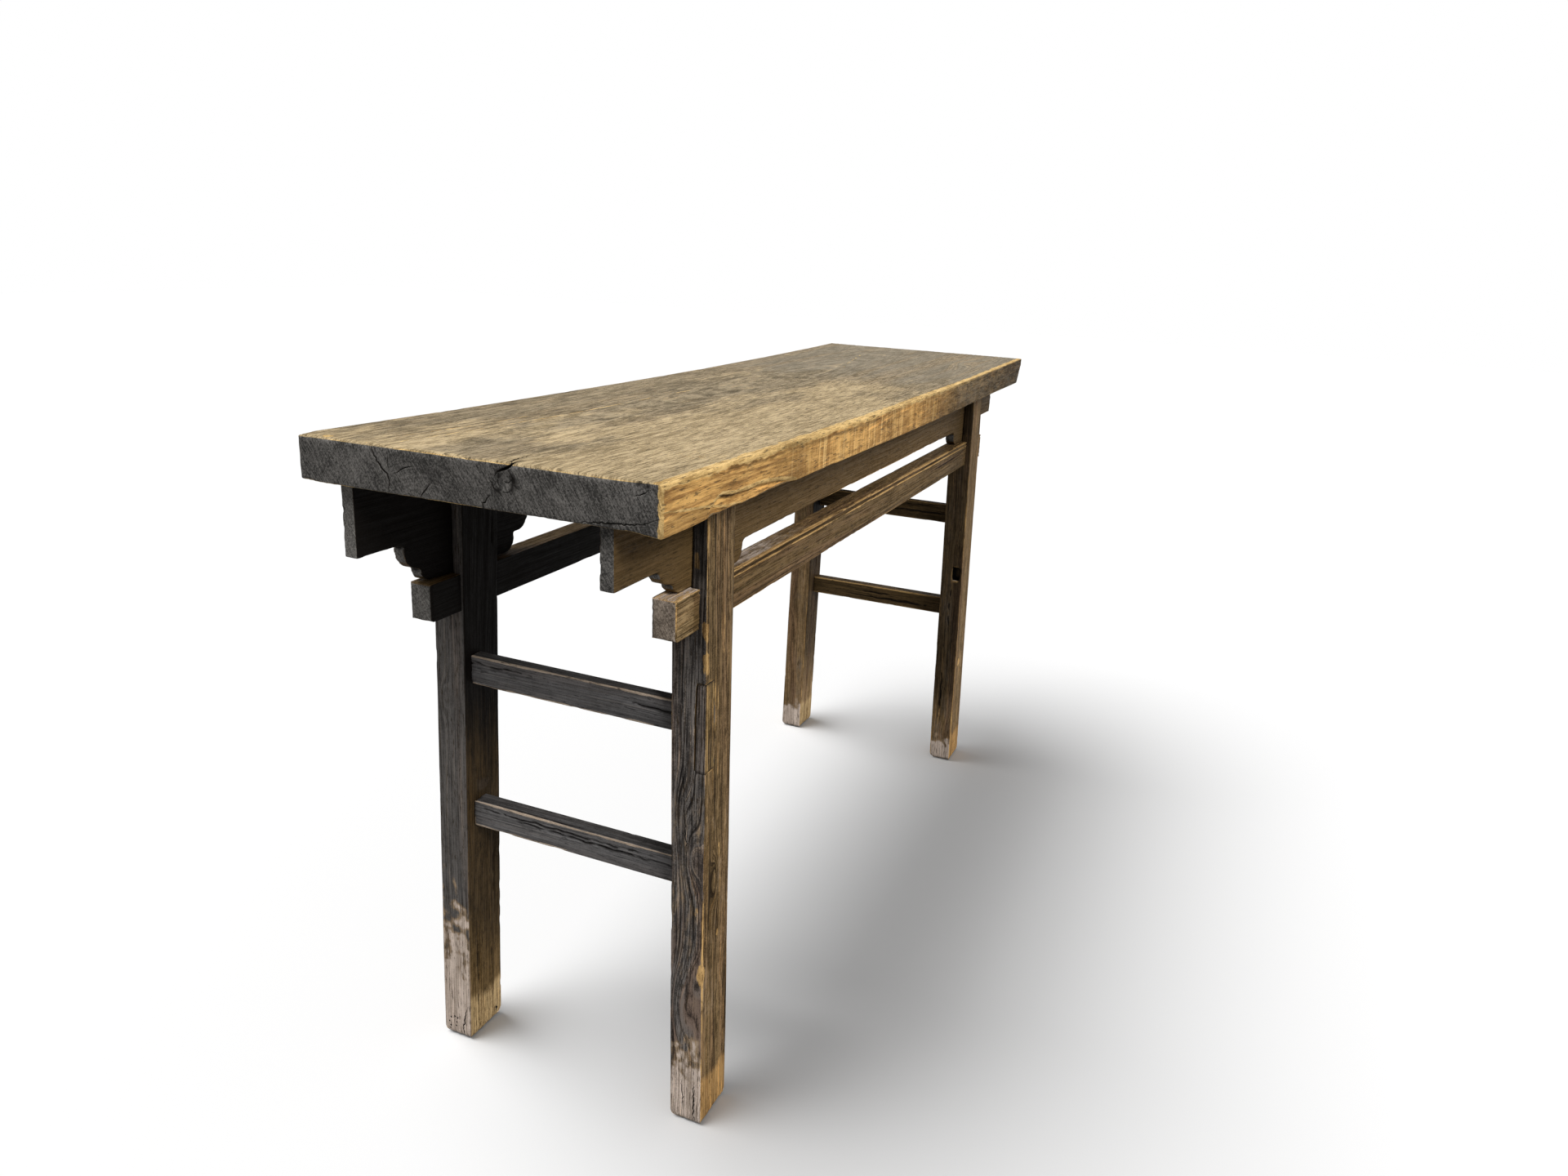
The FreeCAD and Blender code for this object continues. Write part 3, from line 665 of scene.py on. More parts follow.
@functools.cache
def crack_material():
    """The near-black inside of a crack."""
    material = bpy.data.materials.new("crack_inside")
    g = Graph(material)
    grit = g.noise(g.node("TexCoord", output="Object"), (700, 700, 700), 3, 0.6)
    colour = g.mix(g.between(grit, 0.35, 0.65), (0.008, 0.007, 0.006), (0.03, 0.024, 0.018))
    g.finish(colour, grit, 0.6, 0.001, 0.9, 0.2)
    return material


# Colours, as (light, dark) pairs

GREY_END = ((0.21, 0.197, 0.182), (0.028, 0.0265, 0.0245))
BACK_END = ((0.27, 0.255, 0.235), (0.07, 0.066, 0.060))
BLOCK_END = ((0.46, 0.375, 0.30), (0.12, 0.094, 0.07))
OLIVE = ((0.27, 0.176, 0.082), (0.070, 0.044, 0.019))
RAIL_OLIVE = ((0.195, 0.122, 0.050), (0.050, 0.031, 0.012))
APRON_OLIVE = ((0.16, 0.098, 0.040), (0.066, 0.040, 0.015))
BROWN = ((0.27, 0.15, 0.085), (0.045, 0.024, 0.015))
CHARCOAL = ((0.20, 0.178, 0.162), (0.042, 0.037, 0.034))
BACK_CHARCOAL = ((0.135, 0.124, 0.115), (0.048, 0.044, 0.041))
ASH = ((0.175, 0.168, 0.166), (0.072, 0.068, 0.067))
EARTH = ((0.36, 0.26, 0.165), (0.15, 0.105, 0.065))
GOLD_EARTH = ((0.52, 0.31, 0.12), (0.23, 0.128, 0.048))
PATCH_GOLD = ((0.52, 0.34, 0.14), (0.13, 0.078, 0.03))
BLEACHED = ((0.76, 0.63, 0.535), (0.38, 0.30, 0.24))
RUBBED = ((0.72, 0.58, 0.45), (0.34, 0.26, 0.19))
TAN = ((0.76, 0.48, 0.19), (0.32, 0.18, 0.065))
FAR_TAN = ((0.36, 0.235, 0.115), (0.095, 0.06, 0.028))
DULL = ((0.25, 0.175, 0.11), (0.10, 0.07, 0.045))
LIGHT_OLIVE = ((0.58, 0.41, 0.205), (0.19, 0.12, 0.055))
FRAME_TONES = {"body": OLIVE, "brown": BROWN, "char": CHARCOAL, "gold": LIGHT_OLIVE, "end": BLOCK_END,
               "pale": BLEACHED, "earth": EARTH, "worn": TAN}
BACK_TONES = dict(FRAME_TONES, body=RAIL_OLIVE, worn=DULL, end=BACK_END, char=BACK_CHARCOAL)
RAIL_TONES = dict(FRAME_TONES, body=RAIL_OLIVE)
APRON_TONES = dict(FRAME_TONES, body=APRON_OLIVE, brown=APRON_OLIVE, end=GREY_END)


# All timbers

def timber(node, grain, spacings, look, slot, tones, seed, splay=(0, 0), finish_seed=None, **finish_options):
    """A worn piece in its wood. Unless its look says more, the pith lies beside it, and it has six cracks."""
    low, high = box_mm(node)
    pith = (low + high)[across(grain)] / 2 + (55, 80)
    look = {"pith": pith, "cracks": random_cracks(node, grain, 6, seed * 7), **look}
    piece = worn_piece(node, spacings, grain, look, seed, splay)
    finish = wood(node + "_finish", grain, look["pith"], tones, finish_seed or seed, **finish_options)
    piece.data.materials.append(finish)
    return piece


def even(node, steps):
    low, high = box_mm(node)
    return [Spacing((low[axis] - 10, high[axis] + 10, steps[axis])) for axis in range(3)]


# Legs

def leg_char_and_shade(spots, normals, wide):
    """The ends' faces are nearly black, partly the legs' own char and partly painted shade; the long sides
    are olive.
    """
    facing = step(0.45, 0.75, np.abs(normals[:, X])) * (1 if spots[:, X].mean() < 0 else 0.35)
    return np.clip(facing * 1.1 - 0.25 * np.clip(wide, 0, 1), 0, 1)


LEG_SWELL = 1.5
# How far a leg's foot stands out from its top
SPLAY = {"left": -8, "right": 8, "front": -14, "back": 14}


def swollen(middle, half):
    """Push a leg's faces out by about as much as its wear takes off them."""

    def shape(spots):
        moved = spots.copy()
        moved[:, :2] += LEG_SWELL * (spots[:, :2] - middle) / half
        return moved

    return shape


def worn_foot(spots, normals):
    """A foot's lower edge is worn round."""
    height = np.clip(1 - spots[:, Z] / 12, 0, 1)
    return 2.0 * height**2 * np.sqrt(np.clip(1 - normals[:, Z] ** 2, 0, 1))


# How high the pale part of a foot goes, and how far its toe is rounded along x and z
FOOT_PALE = {"front_left": 112, "back_left": 215, "back_right": 70, "front_right": 60}
TOES = {"front_left": (14, 15), "back_left": (18, 20), "front_right": (15, 17), "back_right": (15, 17)}
# Knots as (x, y, z, radius, height), and the other tables' rows as blobs, line_share and cut_cracks take them
LEG_KNOTS = {
    "front_left": [(-599, -163, 368, 13, 11), (-599, -152, 162, 16, 13), (-599, -168, 205, 10, 8),
                   (-599, -150, 425, 14, 8), (-570, -178, 330, 10, 12)],
    "back_left": [(-599, 178, 500, 8, 9), (-571, 146, 300, 9, 10)],
    "front_right": [(543, -168, 455, 12, 14), (580, -178, 222, 10, 12), (543, -160, 60, 10, 10)],
    "back_right": [(543, 180, 300, 11, 12)],
}
LEG_MARKS = {
    "front_left": {
        "rubbed": [
            (-598, -177, 650, 6, 6, 20, 1.1), (-597, -177, 612, 8, 6, 18, 1.1),
            (-599, -170, 300, 3, 6, 40, 0.5), (-570, -178, 560, 2, 6, 30, 0.9),
            (-556, -178, 640, 2, 6, 60, 0.6), (-563, -178, 255, 4, 6, 5, 1.2),
            (-561, -178, 366, 3, 6, 16, 0.6), (-594, -178, 421, 3, 6, 12, 0.5),
            (-599, -166, 730, 4, 5, 16, 0.7), (-598, -176, 214, 7, 7, 26, 1.0),
        ],
        "rubbed_lines": [
            (2.0, 0.9, [(-600, -178, 233), (-575, -178, 218), (-548, -178, 205)]),
            (1.8, 0.9, [(-570, -178, 520), (-555, -178, 516), (-546, -178, 512)]),
        ],
        "dirty_lines": [
            (2.2, 1.0, [(-599, -160, 470), (-599, -163, 400), (-599, -160, 352)]),
            (1.6, 1.0, [(-597, -177, 590), (-596, -177, 530), (-597, -177, 482)]),
            (1.4, 0.9, [(-579, -178, 588), (-580, -178, 530), (-581, -178, 482)]),
            (1.2, 0.8, [(-552, -178, 500), (-556, -178, 380), (-553, -178, 300)]),
            (1.0, 0.8, [(-566, -178, 420), (-570, -178, 330), (-566, -178, 250)]),
        ],
    },
    "front_right": {
        "rubbed": [(543, -168, 458, 8, 9, 20, 0.8), (560, -178, 222, 14, 8, 12, 0.8),
                   (543, -165, 74, 5, 6, 10, 0.9)],
        "dirty": [(543, -160, 421, 8, 10, 22, 0.7)],
    },
    "back_left": {
        "rubbed": [(-571, 146, 372, 22, 12, 16, 0.9)],
        "dirty_lines": [(1.8, 1.0, [(-599, 160, 615), (-599, 156, 590), (-599, 153, 565)])],
    },
    "back_right": {},
}
LEG_CRACKS = {
    "front_left": [
        (X, -1, 12, 1.4, [(-607, -181, 66), (-607, -182, 34), (-608, -182, -4)]),
        (X, -1, 7, 0.9, [(-607, -163, 62), (-607, -166, 40), (-607, -167, 16)]),
        (X, -1, 6, 0.9, [(-602, -154, 482), (-603, -158, 451), (-603, -161, 400), (-604, -165, 345)]),
    ],
    "back_left": [
        (X, -1, 10, 1.3, [(-606, 163, 52), (-606, 168, 36), (-607, 171, 18), (-607, 172, -4)]),
        (Y, -1, 8, 3.2, [(-554, 159, 9), (-553, 159, 14), (-554, 159, 20)]),
    ],
}
# Nail holes in the near end face of the back left foot, as (y, z)
NAIL_HOLES = ((192, 26), (186, 29), (181, 28), (195, 19), (183, 21), (193, 13), (184, 15), (194, 8))
for hole_y, hole_z in NAIL_HOLES:
    slit = [(-607.5, hole_y, hole_z + 1.6), (-607.5, hole_y, hole_z - 1.6)]
    LEG_CRACKS["back_left"].append((X, -1, 6, 2.4, slit))


def leg_marks(side, end, low, high):
    """Worn arrises, painted shade on the back legs' faces that look under the table, darker tops on the front
    legs, and pale feet; low and high are the leg's corners.
    """

    def marks(spots, normals, fields):
        x, y, z = spots.T
        lift = 120 * (fractal(spots, (40, 40, 160), 81, 3) - 0.5)
        fine = fractal(spots, (12, 12, 45), 83, 3) - 0.5
        rub = step(0.38, 0.6, fractal(spots, (60, 60, 140), 85, 2))
        long_side = step(0.4, 0.8, np.abs(normals[:, Y]))
        end_side = 1 - long_side
        for corner_x in (low[X], high[X]):
            for corner_y in (low[Y], high[Y]):
                strength = 0.85 if (corner_x, corner_y) == (low[X], low[Y]) else 0.75
                if side == "back" and corner_y == high[Y]:
                    strength /= 2
                away = np.hypot(x - corner_x, y - corner_y)
                fields.lift("wear", strength * step(2.8, 0.8, away + 6 * fine) * (0.25 + 0.85 * rub))
        if side == "back":
            inner = step(0.3, 0.8, normals[:, X] * (1 if end == "left" else -1))
            if end == "right":
                inner = inner * step(480, 600, z)
            inward = np.maximum(step(0.3, 0.8, -normals[:, Y]), inner)
            # Painted shade: the faces that look under the plank grow near-black upwards, and their wear is
            # taken off there
            painted_shade = 0.68 * step(70, 200, z + lift) + 0.31 * step(330, 560, z + lift)
            fields.lift("grime", inward * painted_shade)
            fields["wear"] *= 1 - 0.9 * inward * step(300, 600, z)
            fields["pale"] *= 1 - long_side * (0.84 + 0.16 * step(48, 78, z + 0.25 * lift))
            fields["gold"] = 0.8 * long_side * step(85, 45, z + 0.3 * lift)
        else:
            # The front legs grow darker towards their tops, most on the end faces
            fields.lift("grime", 0.5 * end_side * step(540, 620, z + lift))
            fields.lift("grime", 0.8 * end_side * step(690, 715, z + 0.1 * lift))
            fields.lift("grime", 0.12 * long_side * step(480, 640, z + lift))
            fields["pale"] *= 1 - 0.85 * long_side
            fields["gold"] = 0.95 * long_side * step(85, 40, z + 0.3 * lift)
            if end == "right":
                # Painted shade on the right leg's inner face, which looks towards the middle of the table
                fields.lift("grime", 0.68 * step(0.4, 0.8, -normals[:, X]) * step(90, 180, z))
            else:
                middle = step(150, 300, z) * step(520, 450, z)
                lower = step(100, 170, z) * step(560, 430, z)
                fields.lift("pale", end_side * (0.12 + 0.14 * middle) + 0.23 * long_side * lower)
        # Painted shade at the top of each leg, under the plank
        fields.lift("grime", 0.8 * step(792, 799, z))

    return marks


def make_leg(side, end, number):
    name = side + "_" + end
    node = name + "_leg"
    low, high = box_mm(node)
    splay = np.array((SPLAY[end], SPLAY[side]))
    middle = (low + high) / 2
    upright_low = low[:2] - np.minimum(splay, 0)
    upright_high = high[:2] - np.maximum(splay, 0)
    spacings = [Spacing((low[axis] - 20, high[axis] + 20, 1.5)) for axis in (X, Y)]
    spacings.append(Spacing((-10, 60, 2.0), (60, 840, 4.0)))
    look = {
        "pith": (middle[X] + 75, middle[Y] + 85), "char": leg_char_and_shade, "relief": 0.5, "waves": 0.8,
        "cracks": random_cracks(node, Z, 16, 100 + number), "knots": LEG_KNOTS[name], "carve": worn_foot,
        "pale": [(middle[X], middle[Y], 0, 90, 90, FOOT_PALE[name] * 1.3, 1.0)],
        "edges": [(X, -1, Z, -1, 5, 6), (X, 1, Z, -1, *TOES[name]), (Y, -1, Z, -1, 4, 5),
                  (Y, 1, Z, -1, 12, 14)],
        "shape": swollen((upright_low + upright_high) / 2, (upright_high - upright_low) / 2),
        "spare": LEG_SWELL,
        "marks": leg_marks(side, end, upright_low - LEG_SWELL, upright_high + LEG_SWELL),
        **LEG_MARKS[name],
    }
    tones = dict(FRAME_TONES, gold=GOLD_EARTH) if side == "front" else BACK_TONES
    if name == "back_right":
        tones = dict(BACK_TONES, body=FAR_TAN, worn=TAN)
    brown, groove, soft = (0.45, 0.9, -0.12) if side == "front" else (0.08, 0.3, 0.3)
    if end == "right":
        brown, soft = 0.8, 0.4
    piece = timber(node, Z, spacings, look, "leg_wood", tones, 11 + number, splay, number,
                   groove=groove, brown=brown, soft=soft)
    if name in LEG_CRACKS:
        cut_cracks(piece, LEG_CRACKS[name], 20 + number)


def patch_marks(spots, normals, fields):
    """The patch is browner than the leg, with dark grooves down its long face and a dark rim."""
    x, z = spots[:, X], spots[:, Z]
    long_side = step(0.4, 0.8, np.abs(normals[:, Y]))
    fine = fractal(spots, (6, 6, 30), 99, 3) - 0.5
    fields["gold"] = (0.55 + 0.8 * fine) * long_side
    fields["char"] *= 0.75
    for place, width in ((-594.5, 1.3), (-590.0, 1.9), (-584.5, 1.0)):
        away = np.abs(x - place - 1.5 * np.sin(z / 40) - 2 * fine)
        fields.lift("grime", 0.85 * long_side * step(width, 0.4 * width, away))
    fields.lift("grime", 0.7 * step(2.5, 1.0, np.minimum(z.max() - z, z - z.min())))


def flush(spots):
    """The patch stands flush with the swollen leg's faces."""
    return spots - (LEG_SWELL, LEG_SWELL, 0)


# Rails, aprons and stretchers

LONGER = 2.5
# The length of a rail's block beyond its leg, with the joint
RAIL_END = 62


def longer(spots):
    """The near ends stand out by about as much as their wear takes off, more on the back pieces."""
    grow = np.where(spots[:, Y] > 0, LONGER, 0.6 * LONGER)
    moved = spots.copy()
    moved[:, X] -= grow * np.clip((-615 - spots[:, X]) / 25, 0, 1)
    return moved


def bead(spots, normals):
    """The fine groove under a rail's upper outer arris."""
    y, z = spots.T[1:]
    outer = step(0.5, 0.9, np.sign(y) * normals[:, Y])
    return 0.9 * outer * step(1.4, 0.4, np.abs(z - (z.max() - 5.6)))


def bead_wear(spots, normals, fields):
    """The bead's two edges are rubbed golden, and its groove is darkened."""
    y, z = spots.T[1:]
    below = z.max() - z
    ragged = fractal(spots, (60, 9, 9), 91, 3)
    outer = step(0.3, 0.8, np.sign(y) * normals[:, Y])
    strength = 0.45 + 0.9 * step(0.35, 0.55, ragged)
    arris = step(3.0, 1.0, below) * step(7, 3, np.abs(np.abs(y) - np.abs(y).max()))
    fields.lift("wear", arris * strength)
    fields.lift("wear", outer * step(1.8, 0.6, np.abs(below - 8.0)) * strength)
    fields.lift("grime", 0.5 * outer * ragged * step(1.2, 0.4, np.abs(below - 5.6)))


def rail_marks(spots, normals, fields):
    """Rails and aprons are painted nearly black as shade on the faces that look under the table and on the
    back pieces' undersides; the front rail's top and blocks are worn pale.
    """
    x, y, z = spots.T
    front, from_middle = y < 0, np.abs(x)
    side_faces = step(0.7, 0.4, np.abs(normals[:, X]))
    inward = step(0.2, 0.7, -np.sign(y) * normals[:, Y])
    under = 0.5 * step(0.3, 0.8, -normals[:, Z]) * (y > 0)
    # Painted shade: inward faces, fully on the back pieces and less on the front ones, and the back pieces'
    # undersides; there the wood is charred, darkened and loses its wear
    painted_shade = inward * np.where(y > 0, 1.0, 0.45 + 0.3 * step(640, 600, from_middle)) + under
    painted_shade = np.clip(painted_shade, 0, 1)
    fields["char"] = 0.5 * inward
    fields.lift("grime", painted_shade)
    fields["wear"] *= 1 - painted_shade
    if z.max() < 705:
        bead_wear(spots, normals, fields)
    block = step(610, 616, from_middle) * step(710, 700, z) * front
    upper = step(0.5, 0.8, normals[:, Z]) * step(698, 694, z.min()) * front
    fields.lift("wear", (0.42 + 0.12 * block) * upper)
    fields.lift("pale", (0.62 * step(-200, -450, x) + 0.38 * block) * upper)
    fields.lift("grime", 0.42 * step(200, 560, x) * front)
    fields["gold"] = 0.46 * block * side_faces
    if z.min() > 655:
        fields["wear"] *= 1 - 0.8 * step(735, 745, from_middle)
    if z.min() > 690:
        fields.lift("grime", 0.15 * step(600, 625, from_middle) * front * side_faces)


def stretcher_marks(spots, normals, fields):
    """A stretcher's upper outer arris is rubbed, and its inner face and underside are painted dark as shade.
    """
    x, y, z = spots.T
    fine = fractal(spots, (9, 50, 9), 95, 3) - 0.5
    rub = fractal(spots, (30, 70, 30), 97, 2)
    for level, strength in ((z.max(), 1.0), (z.min(), 0.7)):
        away = np.hypot(x - x.min(), z - level)
        fields.lift("wear", step(3.6, 1.6, away + 4 * fine) * (0.75 + 0.6 * step(0.35, 0.6, rub)) * strength)
    joint = step(-135, -145, y) + step(135, 148, y)
    fields.lift("wear", 0.5 * joint * (0.5 + fine))
    # Painted shade on the inner face and the underside
    inner = step(0.4, 0.9, -np.sign(x.mean()) * normals[:, X]) + step(0.4, 0.9, -normals[:, Z])
    fields.lift("grime", 0.5 * np.clip(inner, 0, 1))
    upper = step(0.4, 0.8, normals[:, Z]) * (0.45 if z.max() < 400 else 0.25)
    fields.lift("grime", upper * (1 - np.clip(fields["wear"], 0, 1)))


UNDER_SAG, UNDER_SAG_REACH = 4.0, 539.0
TOP_SAG, TOP_SAG_REACH = 6.5, 768.0


def under_sag(spots):
    """How far the plank's underside hangs between the legs."""
    return UNDER_SAG * np.clip(1 - (spots[:, X] / UNDER_SAG_REACH) ** 2, 0, 1)


def apron_bow(spots):
    """An apron's upper edge follows the plank's underside."""
    return under_sag(spots) * step(750, 800, spots[:, Z])


def make_long_sides():
    for number, side in enumerate(("front", "back")):
        node = side + "_rail"
        low, high = box_mm(node)
        near, far, top = low[X] + RAIL_END, high[X] - RAIL_END, high[Z] - 12
        spacings = even(node, (4, 1.5, 1.5))
        spacings[X] = Spacing((low[X] - 10, near, 1.5), (near, far, 4), (far, high[X] + 10, 1.5))
        spacings[Z] = Spacing((low[Z] - 10, top, 1.5), (top, high[Z] + 10, 0.8))
        edges = [(X, s, axis, t, 5, 4) for axis in (Y, Z) for s in (-1, 1) for t in (-1, 1)]
        look = {"relief": 0.3, "wear": 0.8, "rounds": 3, "blunt": 0.2, "chips": 0.6, "marks": rail_marks,
                "carve": bead, "edges": edges, "shape": longer, "spare": LONGER}
        timber(node, X, spacings, look, "rail_wood", RAIL_TONES if side == "front" else BACK_TONES,
               31 + number, groove=0.3, soft=0.4)
        node = side + "_apron"
        spacings = even(node, (6, 1.5, 1.5))
        spacings[X] = Spacing((-775, -735, 1.6), (-735, -620, 6), (-620, -380, 1.5), (-380, 380, 6),
                              (380, 620, 1.5), (620, 735, 6), (735, 775, 1.6))
        look = {"relief": 0.3, "waves": 0.5, "chips": 0.8, "bow": apron_bow, "wear": 1.1,
                "marks": rail_marks, "shape": longer}
        timber(node, X, spacings, look, "apron_wood", APRON_TONES if side == "front" else BACK_TONES,
               41 + number, groove=0.12, soft=0.8)


def make_frame():
    number = 1
    for side in ("front", "back"):
        for end in ("left", "right"):
            make_leg(side, end, number)
            number += 1
    make_long_sides()
    near_tones = dict(FRAME_TONES, body=ASH, worn=RUBBED)
    number = 51
    for end in ("left", "right"):
        for level in ("upper", "lower"):
            node = "%s_%s_stretcher" % (end, level)
            look = {"relief": 0.3, "wear": 0.8, "marks": stretcher_marks, "rounds": 3, "blunt": 0.3}
            timber(node, Y, even(node, (1.2, 3, 1.2)), look, "stretcher_wood",
                   near_tones if end == "left" else RAIL_TONES, number, groove=0.2, brown=0.1, soft=0.45)
            number += 1
    node = "front_left_leg_patch"
    look = {"char": leg_char_and_shade, "blunt": 0.1, "waves": 0.2, "cracks": (), "blunt_low": 0.05, "relief": 0.2,
            "chips": 0.4, "rounds": 3, "marks": patch_marks, "shape": flush, "spare": LEG_SWELL}
    timber(node, Z, even(node, (1, 1, 2.5)), look, "patch_wood", dict(FRAME_TONES, gold=PATCH_GOLD), 61,
           groove=1.0)


# Plank

TOP_TONES = {
    "body": ((0.33, 0.26, 0.16), (0.105, 0.082, 0.05)), "brown": ((0.38, 0.28, 0.16), (0.14, 0.098, 0.052)),
    "char": ((0.26, 0.217, 0.15), (0.165, 0.138, 0.097)), "gold": ((0.84, 0.49, 0.16), (0.36, 0.185, 0.058)),
    "pale": ((0.56, 0.43, 0.25), (0.22, 0.165, 0.09)), "worn": ((0.82, 0.56, 0.23), (0.40, 0.25, 0.09)),
    "end": GREY_END,
}
PLANK_HALF = (768, 218)
# The radius of the upright corners in the CAD
CORNER = 7
# The bark edge's ridge, and the lower line under it, as (x, z) along the front face
RIDGE = ((-672, 809), (-661, 813), (-645, 818), (-613, 813), (-564, 813), (-536, 812), (-498, 808),
         (-450, 800))
LOWER_LINE = ((-780, 822), (-750, 820), (-722, 816), (-680, 811), (-663, 808), (-635, 802), (-612, 800),
              (-593, 798))
# How dirty the front face is, as (x, share)
FRONT_DIRT = ((-540, 0), (-450, 0.32), (-370, 0), (-200, 0), (-100, 0.22), (0, 0.14), (80, 0.3), (200, 0.53),
              (500, 0.64), (700, 0.84))


def height_along(x, line):
    return np.interp(x, *zip(*line))


def full_corner(spots):
    """Fuller corners than the CAD's: the bark edge's facet at the near end, and the upright corners."""
    x, y, z = spots.T
    size = np.interp(x, (-768, -400), (1.0, 0.05)) * (x < -395)
    low = np.clip(1 - (z - 800) / (18 * np.maximum(size, 0.01)), 0, 1)
    reach = np.clip((-185 - y) / 24, 0, 1)
    out = (np.abs(spots[:, :2]) - PLANK_HALF) / CORNER + 1
    square = np.linalg.norm(out, axis=1) / np.maximum((out**4).sum(axis=1) ** 0.25, 1e-6)
    grow = np.where((out > 0).all(axis=1), square - 1, 0)
    moved = spots.copy()
    moved[:, Y] -= 8.0 * size * low * reach
    moved[:, :2] += np.sign(spots[:, :2]) * CORNER * out * grow[:, None]
    moved[:, :2] = np.clip(moved[:, :2], np.negative(PLANK_HALF), PLANK_HALF)
    moved[:, Z] -= 3.2 * step(-390, -640, x) * np.clip(1 - (z - 800) / 18, 0, 1) * reach
    return moved


def plank_bow(spots):
    """The plank's own sag, more at its upper face, which is worn hollow."""
    over = TOP_SAG * np.clip(1 - (spots[:, X] / TOP_SAG_REACH) ** 2, 0, 1)
    share = np.clip((spots[:, Z] - 800) / 50, 0, 1)
    return under_sag(spots) * (1 - share) + over * share


def plank_carve(spots, normals):
    """The front face falls back under the bark edge's ridge and under the line below it."""
    x, y, z = spots.T
    wobble = 2.5 * (fractal(spots, (18, 18, 18), 301, 3) - 0.5)
    under_ridge = height_along(x, RIDGE) + wobble - z
    along_ridge = step(-676, -655, x) * step(-440, -500, x)
    depth = 3.6 * along_ridge * np.clip(under_ridge / 2.5, 0, 1) * step(24, 6, under_ridge)
    pocket = step(-668, -655, x) * step(-575, -620, x)
    depth += 3.5 * pocket * np.clip(under_ridge / 2, 0, 1) * step(8, 3, under_ridge)
    under_line = height_along(x, LOWER_LINE) + wobble - z
    along_line = step(-580, -610, x) * step(-760, -735, x)
    depth += 1.6 * along_line * np.clip(under_line / 2.5, 0, 1) * step(20, 8, under_line)
    return depth * step(-190, -205, y)


def front_marks(spots, front, fine, broad, fields):
    """The golden band on the front arris; the bark edge's lines, rubbed golden with a painted highlight and
    with painted shadow under them; and drips and dirt further along.
    """
    x, z = spots[:, X], spots[:, Z]
    rough = z + 9 * fine
    band = step(842.0, 845.0, rough) * (1 - 0.6 * step(250, 480, x)) * (0.35 + 1.3 * broad)
    fields.lift("wear", 0.95 * front * band)
    shade = step(837, 840, rough) * step(844, 841.5, rough) * step(0.35, 0.6, broad)
    fields.lift("grime", 0.55 * front * shade)
    above_ridge = z - height_along(x, RIDGE)
    above_line = z - height_along(x, LOWER_LINE)
    # Rubbed gold with a painted highlight along the ridge and the lower line
    ridge_rub_and_highlight = step(3.6, 1.0, np.abs(above_ridge - 1.5 - 2 * fine))
    ridge_rub_and_highlight = ridge_rub_and_highlight * step(-672, -655, x) * step(-440, -470, x)
    line_rub_and_highlight = step(-590, -600, x) * step(2.6, 0.6, np.abs(above_line - 1.0 - 2 * fine))
    fields.lift("wear", front * np.maximum(1.3 * ridge_rub_and_highlight, 0.85 * line_rub_and_highlight))
    # Painted shadow under the ridge and under the lower line
    below = step(-672, -655, x) * step(-470, -560, x) * step(2.6, 0.8, np.abs(above_ridge + 2.6))
    fields.lift("grime", front * (0.35 + 0.5 * step(-590, -620, x)) * below)
    under = step(-590, -600, x) * step(1.8, 0.6, np.abs(above_line + 1.8 - 2 * fine)) * step(0.35, 0.6, broad)
    fields.lift("grime", 0.6 * front * under)
    fields["gold"] = front * (1 - 0.55 * front * step(-60, 330, x))
    darkening = height_along(x, FRONT_DIRT)
    fields.lift("grime", front * darkening * (1 + 0.6 * (broad - 0.5)))
    foot = step(-640, -690, x) * step(818, 808, z)
    fields.lift("grime", front * (0.32 + 0.5 * (broad - 0.4)) * foot)
    fields["drip"] = front * step(-520, -400, x) * (0.45 + 0.55 * step(420, 250, x))


